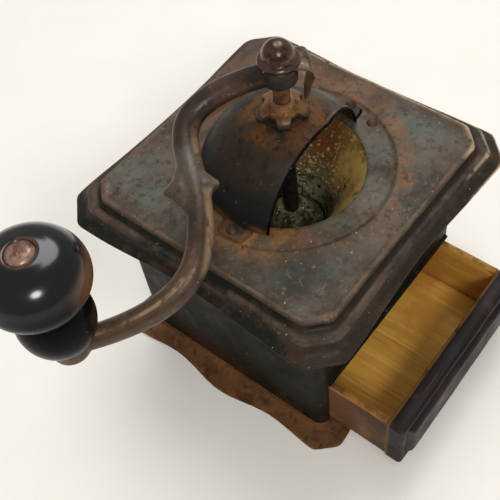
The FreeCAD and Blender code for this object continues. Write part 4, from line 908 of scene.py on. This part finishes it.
def make_hood():
    foot, crown = Vector((HOOD_BASE, RING_FLOOR)), Vector((HOOD_FLAT, HOOD_TOP))
    half = (crown - foot).length / 2
    bulge = HOOD_BEND - math.sqrt(HOOD_BEND ** 2 - half ** 2)
    profile = arc(foot, crown, bulge, HOOD_STEPS) + [Vector((BUSH_SEAT, HOOD_TOP))]
    mesh = bmesh.new()
    skin(mesh, turned(profile, HOOD_SEGMENTS))
    for turn, slope in ((0, 0), (HOOD_TURN, HOOD_SLOPE)):
        whole = mesh.verts[:] + mesh.edges[:] + mesh.faces[:]
        corner, outward = (turn, -HOOD_FRONT, 0), (slope, -1, 0)
        bmesh.ops.bisect_plane(
            mesh, geom=whole, plane_co=corner, plane_no=outward, clear_outer=True, dist=0.02
        )
    for vert in mesh.verts:
        vert.co = dented(vert.co, *HOOD_DENTS)
    hood = piece("hood_dome", mesh, HOOD_PAINT, "housing", "hood_paint", "hood")
    thicken(hood, HOOD_SHEET)
    soft = hood.modifiers.new("soft_edge", "BEVEL")
    soft.width = HOOD_EDGE * MM
    soft.segments = 3
    soft.angle_limit = math.radians(SHARP_ANGLE)
    settle(hood, sharp=60)
    mesh = bmesh.new()
    tab(mesh, LEFT_TAB)
    tab(mesh, RIGHT_TAB)
    piece("hood_tabs", mesh, HOOD_PAINT, "housing", "hood_paint")


# Crank: cast S-shaped arm with a two-tipped leaf, an eye and a boss
def arm_spots():
    """Places that the arm's line passes through, from the eye to the boss."""
    # Shares of the way along, of the bow and of the fall
    inner = ((0.26, 0.645, 0.107), (0.63, 1.0, 0.26))
    outer = ((0.39, 1.0, 0.641), (0.72, 0.6, 0.885), (0.92, 0.16, 0.985))
    rest = CRANK_REACH - CRANK_TURN
    spots = [(0.0, 0.0, 0.0)]
    for along, side, fall in inner:
        spots.append((CRANK_TURN * along, -BOW_INNER * side, CRANK_DROP * fall))
    spots.append((CRANK_TURN, 0.0, CRANK_DROP * CRANK_TURN / CRANK_REACH))
    for along, side, fall in outer:
        spots.append((CRANK_TURN + rest * along, BOW_OUTER * side, CRANK_DROP * fall))
    spots.append((CRANK_REACH, 0.0, CRANK_DROP))
    way = Matrix.Rotation(CRANK_ANGLE, 3, "Z")
    return [way @ Vector((along, side, EYE_MIDDLE - fall)) for along, side, fall in spots]


def arm_radius(point):
    """The arm swells from the eye to the leaf, then settles to its end."""
    along = math.hypot(point.x, point.y)
    if along < CRANK_TURN:
        return ARM_AT_EYE + ARM_SWELL * (along / CRANK_TURN) ** 2
    return ARM_AT_LEAF - ARM_TAPER * min((along - CRANK_TURN) / (CRANK_REACH - CRANK_TURN), 1.0)


def leaf(mesh, middle, onward, sideways):
    """Leaf with two tips on the arm, thick in its middle and blunt along its edge."""
    right = [(-14, -3.6), (-8, -4.8), (-1.8, -7.8), (2.0, -12.0), (3.2, -11.6), (5.6, -9.0), (10.9, -6.4)]
    left = [(9.1, 3.8), (4.9, 6.2), (3.6, 8.8), (2.4, 9.0), (-1.5, 6.0), (-5.1, 3.0), (-12, 2.4)]
    outline = right + [(17, -4.2), (17, 2.4)] + left
    upward = onward.cross(sideways)
    rows = []
    for lift, share in ((4.2, 0.45), (3.0, 0.8), (1.3, 1.0), (-1.3, 1.0), (-3.0, 0.8), (-4.2, 0.45)):
        lifted = upward * lift
        rows.append([middle + onward * on + sideways * aside * share + lifted for on, aside in outline])
    solid(mesh, rows)


def make_crank():
    steps, leaf_spot = 16, 3
    spots = arm_spots()
    line = smooth_line(spots, steps)
    mesh = bmesh.new()
    tube(mesh, line, [arm_radius(point) for point in line])
    leaf_index = leaf_spot * steps
    onward = (line[leaf_index + 1] - line[leaf_index - 1]).normalized()
    sideways = Vector((0, 0, 1)).cross(onward).normalized()
    leaf(mesh, spots[leaf_spot], onward, sideways)
    drum(mesh, 0, 0, EYE_RADIUS, EYE_BOTTOM, EYE_TOP, 1.0)
    drum(mesh, KNOB_X, KNOB_Y, BOSS_RADIUS, BOSS_BOTTOM, BOSS_TOP, 1.4)
    arm = piece("crank_casting", mesh, CRANK_IRON, "spindle", "crank_iron", "crank_arm")
    join = arm.modifiers.new("join", "REMESH")
    join.mode = "VOXEL"
    join.voxel_size = CASTING_GRAIN * MM
    soften = arm.modifiers.new("soften", "SMOOTH")
    soften.iterations = 10
    soften.factor = 0.5
    settle(arm, sharp=80)


# Cap nut: polished dome on a flange
def make_cap():
    underside = [(2.3, 157.0), (7.3, 157.0)]
    flange = [(7.8, 157.3), (7.9, 157.9), (7.65, 158.4), (7.0, 158.75), (6.4, 159.0)]
    dome = arc((6.15, 159.3), (0.05, 165.6), 1.95, 20)
    mesh = bmesh.new()
    solid(mesh, turned(underside + flange + dome, CAP_SEGMENTS))
    piece("cap_dome", mesh, CAP_STEEL, "spindle", "cap_steel", "cap_nut")


# Adjusting nut: bell with drooping lobes between its notches
def make_nut():
    collar = [(3.4, 138.0), (4.4, 138.0), (4.8, 137.8), (4.95, 137.3), (5.1, 136.7)]
    bell = [(5.7, 136.3), (7.0, 135.9), (8.4, 135.3), (9.5, 134.5), (10.2, 133.6), (10.5, 132.7)]
    rim = [(NUT_RADIUS, 131.9), (10.4, 131.5), (9.7, 131.5), (9.0, 132.0), (8.85, 132.3), (3.4, 132.3)]
    pitch = 2 * math.pi / NOTCHES
    rows = []
    for row in turned(collar + bell + rim, NUT_SEGMENTS):
        shaped = []
        for point in row:
            angle = math.atan2(point.y, point.x) - PAWL_ANGLE
            off = abs((angle + pitch / 2) % pitch - pitch / 2)
            open_share = min(max((NOTCH_HALF - off) / NOTCH_SIDE, 0.0), 1.0)
            depth = NOTCH_DEPTH * open_share * open_share * (3 - 2 * open_share)
            limit = NUT_RADIUS - depth
            flat = math.hypot(point.x, point.y)
            shrink = min(flat, limit) / flat
            shaped.append(Vector((point.x * shrink, point.y * shrink, point.z)))
        rows.append(shaped)
    mesh = bmesh.new()
    skin(mesh, rows + rows[:1])
    bmesh.ops.remove_doubles(mesh, verts=mesh.verts, dist=0.01)
    piece("nut_bell", mesh, NUT_STEEL, "nut", "nut_steel", "adjusting_nut")


# Pawl spring: plate under the cap nut, bent down and drawn in to a finger
def make_pawl():
    plate = [(-6.6, 156.5), (2.0, 156.5), (8.2, 156.45), (10.5, 155.8), (11.4, 153.8)]
    finger = [(11.7, 150.6), (11.2, 146.0), (10.3, 140.5), (9.4, 134.6)]
    plate_edges = [(-4.0, 4.0), (-5.2, 4.6), (-7.0, 5.6), (-7.6, 5.9), (-7.5, 5.6)]
    finger_edges = [(-5.4, 4.2), (-1.9, 2.3), (-0.3, 3.0), (0.0, 2.9)]
    steps = 6
    line = smooth_line([Vector(spot) for spot in plate + finger], steps)
    sides = smooth_line([Vector(spot) for spot in plate_edges + finger_edges], steps)
    way = Matrix.Rotation(PLATE_ANGLE, 3, "Z")
    bend, tip = finger[0][1], finger[-1][1]
    section = ((0, 0.15), (0.04, 0.46), (0.5, 0.5), (0.96, 0.46), (1, 0.15))
    section += tuple((share, -lift) for share, lift in reversed(section))
    rows = []
    for index, (point, (front, back)) in enumerate(zip(line, sides)):
        onward = (line[min(index + 1, len(line) - 1)] - line[max(index - 1, 0)]).normalized()
        across = Vector((-onward.y, 0, onward.x))
        hanging = min(max((bend - point.y) / (bend - tip), 0.0), 1.0)
        twist = Matrix.Rotation(PAWL_TWIST * math.sin(math.pi * hanging), 3, "Z")
        middle = Vector((point.x, (front + back) / 2, point.y))
        row = []
        for share, lift in section:
            off = Vector((0, (back - front) * (share - 0.5), 0)) + across * lift
            row.append(way @ (middle + twist @ off))
        rows.append(row)
    mesh = bmesh.new()
    solid(mesh, rows)
    piece("pawl_strip", mesh, PAWL_STEEL, "spindle", "pawl_steel", "pawl_spring")


# Knob: turned ball over a lower disc, with the domed head of its pin
def make_knob():
    foot = [(3.0, 109.3), (8.8, 109.3), (9.4, 109.6)]
    disc = arc((9.6, 110.0), (10.3, 133.8), 4.0, 22)
    neck = [(10.0, 134.2), (10.1, 134.6)]
    ball = arc((10.4, 134.8), (8.4, 159.9), 9.4, 36)
    crown = [(7.4, 160.28), (6.4, 160.46), (5.7, 160.5)]
    seat = [(5.2, 160.4), (4.95, 160.0), (4.8, 159.5), (3.0, 159.4)]
    profile = foot + disc + neck + ball + crown + seat
    mesh = bmesh.new()
    solid(mesh, turned(profile, KNOB_SEGMENTS, KNOB_X, KNOB_Y))
    piece("knob_turning", mesh, KNOB_LACQUER, "knob", "knob_wood", "crank_knob")
    shank = [(2.5, 98.2), (4.2, 98.2), (4.3, 99.2), (3.6, 99.9), (2.5, 100.2), (2.5, 159.4)]
    head = [(4.7, 159.4), (4.9, 159.9), (4.6, 160.5), (3.9, 161.05), (2.9, 161.45), (1.6, 161.65)]
    mesh = bmesh.new()
    rows = turned(shank + head + [(0.05, 161.7)], PIN_SEGMENTS, KNOB_X, KNOB_Y)
    solid(mesh, [[dented(point, *PIN_DENTS) for point in row] for row in rows])
    piece("pin_head", mesh, PIN_STEEL, "spindle", "pin_steel", "knob_pin")


# Drawer: nailed boards behind a painted front with a raised field
def make_drawer():
    inner = DRAWER_HALF - SIDE_BOARD
    sides = (
        ("left_board", "drawer_left_side", -DRAWER_HALF, -inner),
        ("right_board", "drawer_right_side", inner, DRAWER_HALF),
    )
    for name, node, start, end in sides:
        mesh = bmesh.new()
        plank(mesh, (start, FRONT_BACK, SIDE_BOTTOM), (end, DRAWER_BACK, DRAWER_TOP), ALONG_Y)
        piece(name, mesh, SIDE_WOOD, "drawer", "drawer_wood", node)
    others = (
        ("back_board", "drawer_back", BACK_WOOD, ALONG_X),
        ("floor_board", "drawer_bottom", SIDE_WOOD, ALONG_Y),
    )
    for name, node, finish, along in others:
        low, high = (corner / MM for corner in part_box(node))
        mesh = bmesh.new()
        plank(mesh, low, high, along)
        piece(name, mesh, finish, "drawer", "drawer_wood", node)


def make_front():
    edge = [(0.6, FRONT_BACK), (0.0, FRONT_BACK - 0.6), (0.0, -85.0), (0.0, -88.4), (0.2, -89.2)]
    border = [(0.8, -89.9), (1.6, -90.05), (3.0, -90.0), (3.7, -89.5), (4.3, -89.5)]
    bevel = [(4.8, -90.1), (5.4, -91.0), (6.2, -91.9), (7.0, -92.3)]
    field = [(inset, FRONT_FACE) for inset in (8.0, 11.0, 15.0)]
    rows = []
    for inset, y in edge + border + bevel + field:
        low, high = (-DRAWER_HALF + inset, FRONT_BOTTOM + inset), (DRAWER_HALF - inset, DRAWER_TOP - inset)
        outline = []
        for point in rectangle((0, 0), (1, 1), 0.025):
            outline.append((low[0] + (high[0] - low[0]) * point.x, low[1] + (high[1] - low[1]) * point.y))
        rows.append([dented(Vector((x, y, z)), *FRONT_DENTS) for x, z in outline])
    mesh = bmesh.new()
    solid(mesh, rows)
    piece("front_board", mesh, FRONT_PAINT, "drawer", "front_wood", "drawer_front")


make_cover()
make_base()
make_hood()
make_crank()
make_cap()
make_nut()
make_pawl()
make_knob()
make_drawer()
make_front()


# Stage, light and camera
def make_floor():
    mesh = bmesh.new()
    bmesh.ops.create_circle(mesh, cap_ends=True, radius=FLOOR_RADIUS, segments=96)
    data = bpy.data.meshes.new("floor")
    mesh.to_mesh(data)
    mesh.free()
    stone = Finish("floor_pale", (250, 247, 240))
    stone.layer((247, 243, 234), stone.cloud(14, 0.3, 0.7))
    data.materials.append(stone.done(0.6, specular=0.3))
    floor = bpy.data.objects.new("floor", data)
    bpy.context.scene.collection.objects.link(floor)


def lamp(name, place, width, power, mirrored):
    light = bpy.data.lights.new(name, "AREA")
    light.shape = "DISK"
    light.size = width
    light.energy = power
    thing = bpy.data.objects.new(name, light)
    bpy.context.scene.collection.objects.link(thing)
    thing.visible_glossy = mirrored
    thing.location = place
    thing.rotation_euler = (Vector(LAMP_AIM) - Vector(place)).to_track_quat("-Z", "Y").to_euler()


def make_world():
    world = bpy.data.worlds.new("studio")
    bpy.context.scene.world = world
    world.use_nodes = True
    sky = world.node_tree.nodes["Background"]
    sky.inputs["Color"].default_value = (1.0, 0.99, 0.97, 1.0)
    sky.inputs["Strength"].default_value = WORLD_STRENGTH


def make_camera():
    azimuth, elevation = math.radians(CAMERA_AZIMUTH), math.radians(CAMERA_ELEVATION)
    roll = math.radians(CAMERA_ROLL)
    flat = math.cos(elevation)
    back = Vector((math.sin(azimuth) * flat, -math.cos(azimuth) * flat, math.sin(elevation)))
    right = Vector((0, 0, 1)).cross(back).normalized()
    upward = back.cross(right)
    turned_right = right * math.cos(roll) + upward * math.sin(roll)
    turned_up = upward * math.cos(roll) - right * math.sin(roll)
    data = bpy.data.cameras.new("camera")
    data.sensor_width = CAMERA_SENSOR
    data.lens = CAMERA_LENS
    data.shift_x = CAMERA_SHIFT
    camera = bpy.data.objects.new("camera", data)
    bpy.context.scene.collection.objects.link(camera)
    turning = Matrix((turned_right, turned_up, back)).transposed().to_4x4()
    camera.matrix_world = Matrix.Translation(Vector(CAMERA_PLACE)) @ turning
    bpy.context.scene.camera = camera


make_floor()
make_world()
for settings in LAMPS:
    lamp(*settings)
make_camera()
bpy.context.scene.view_settings.view_transform = "Standard"
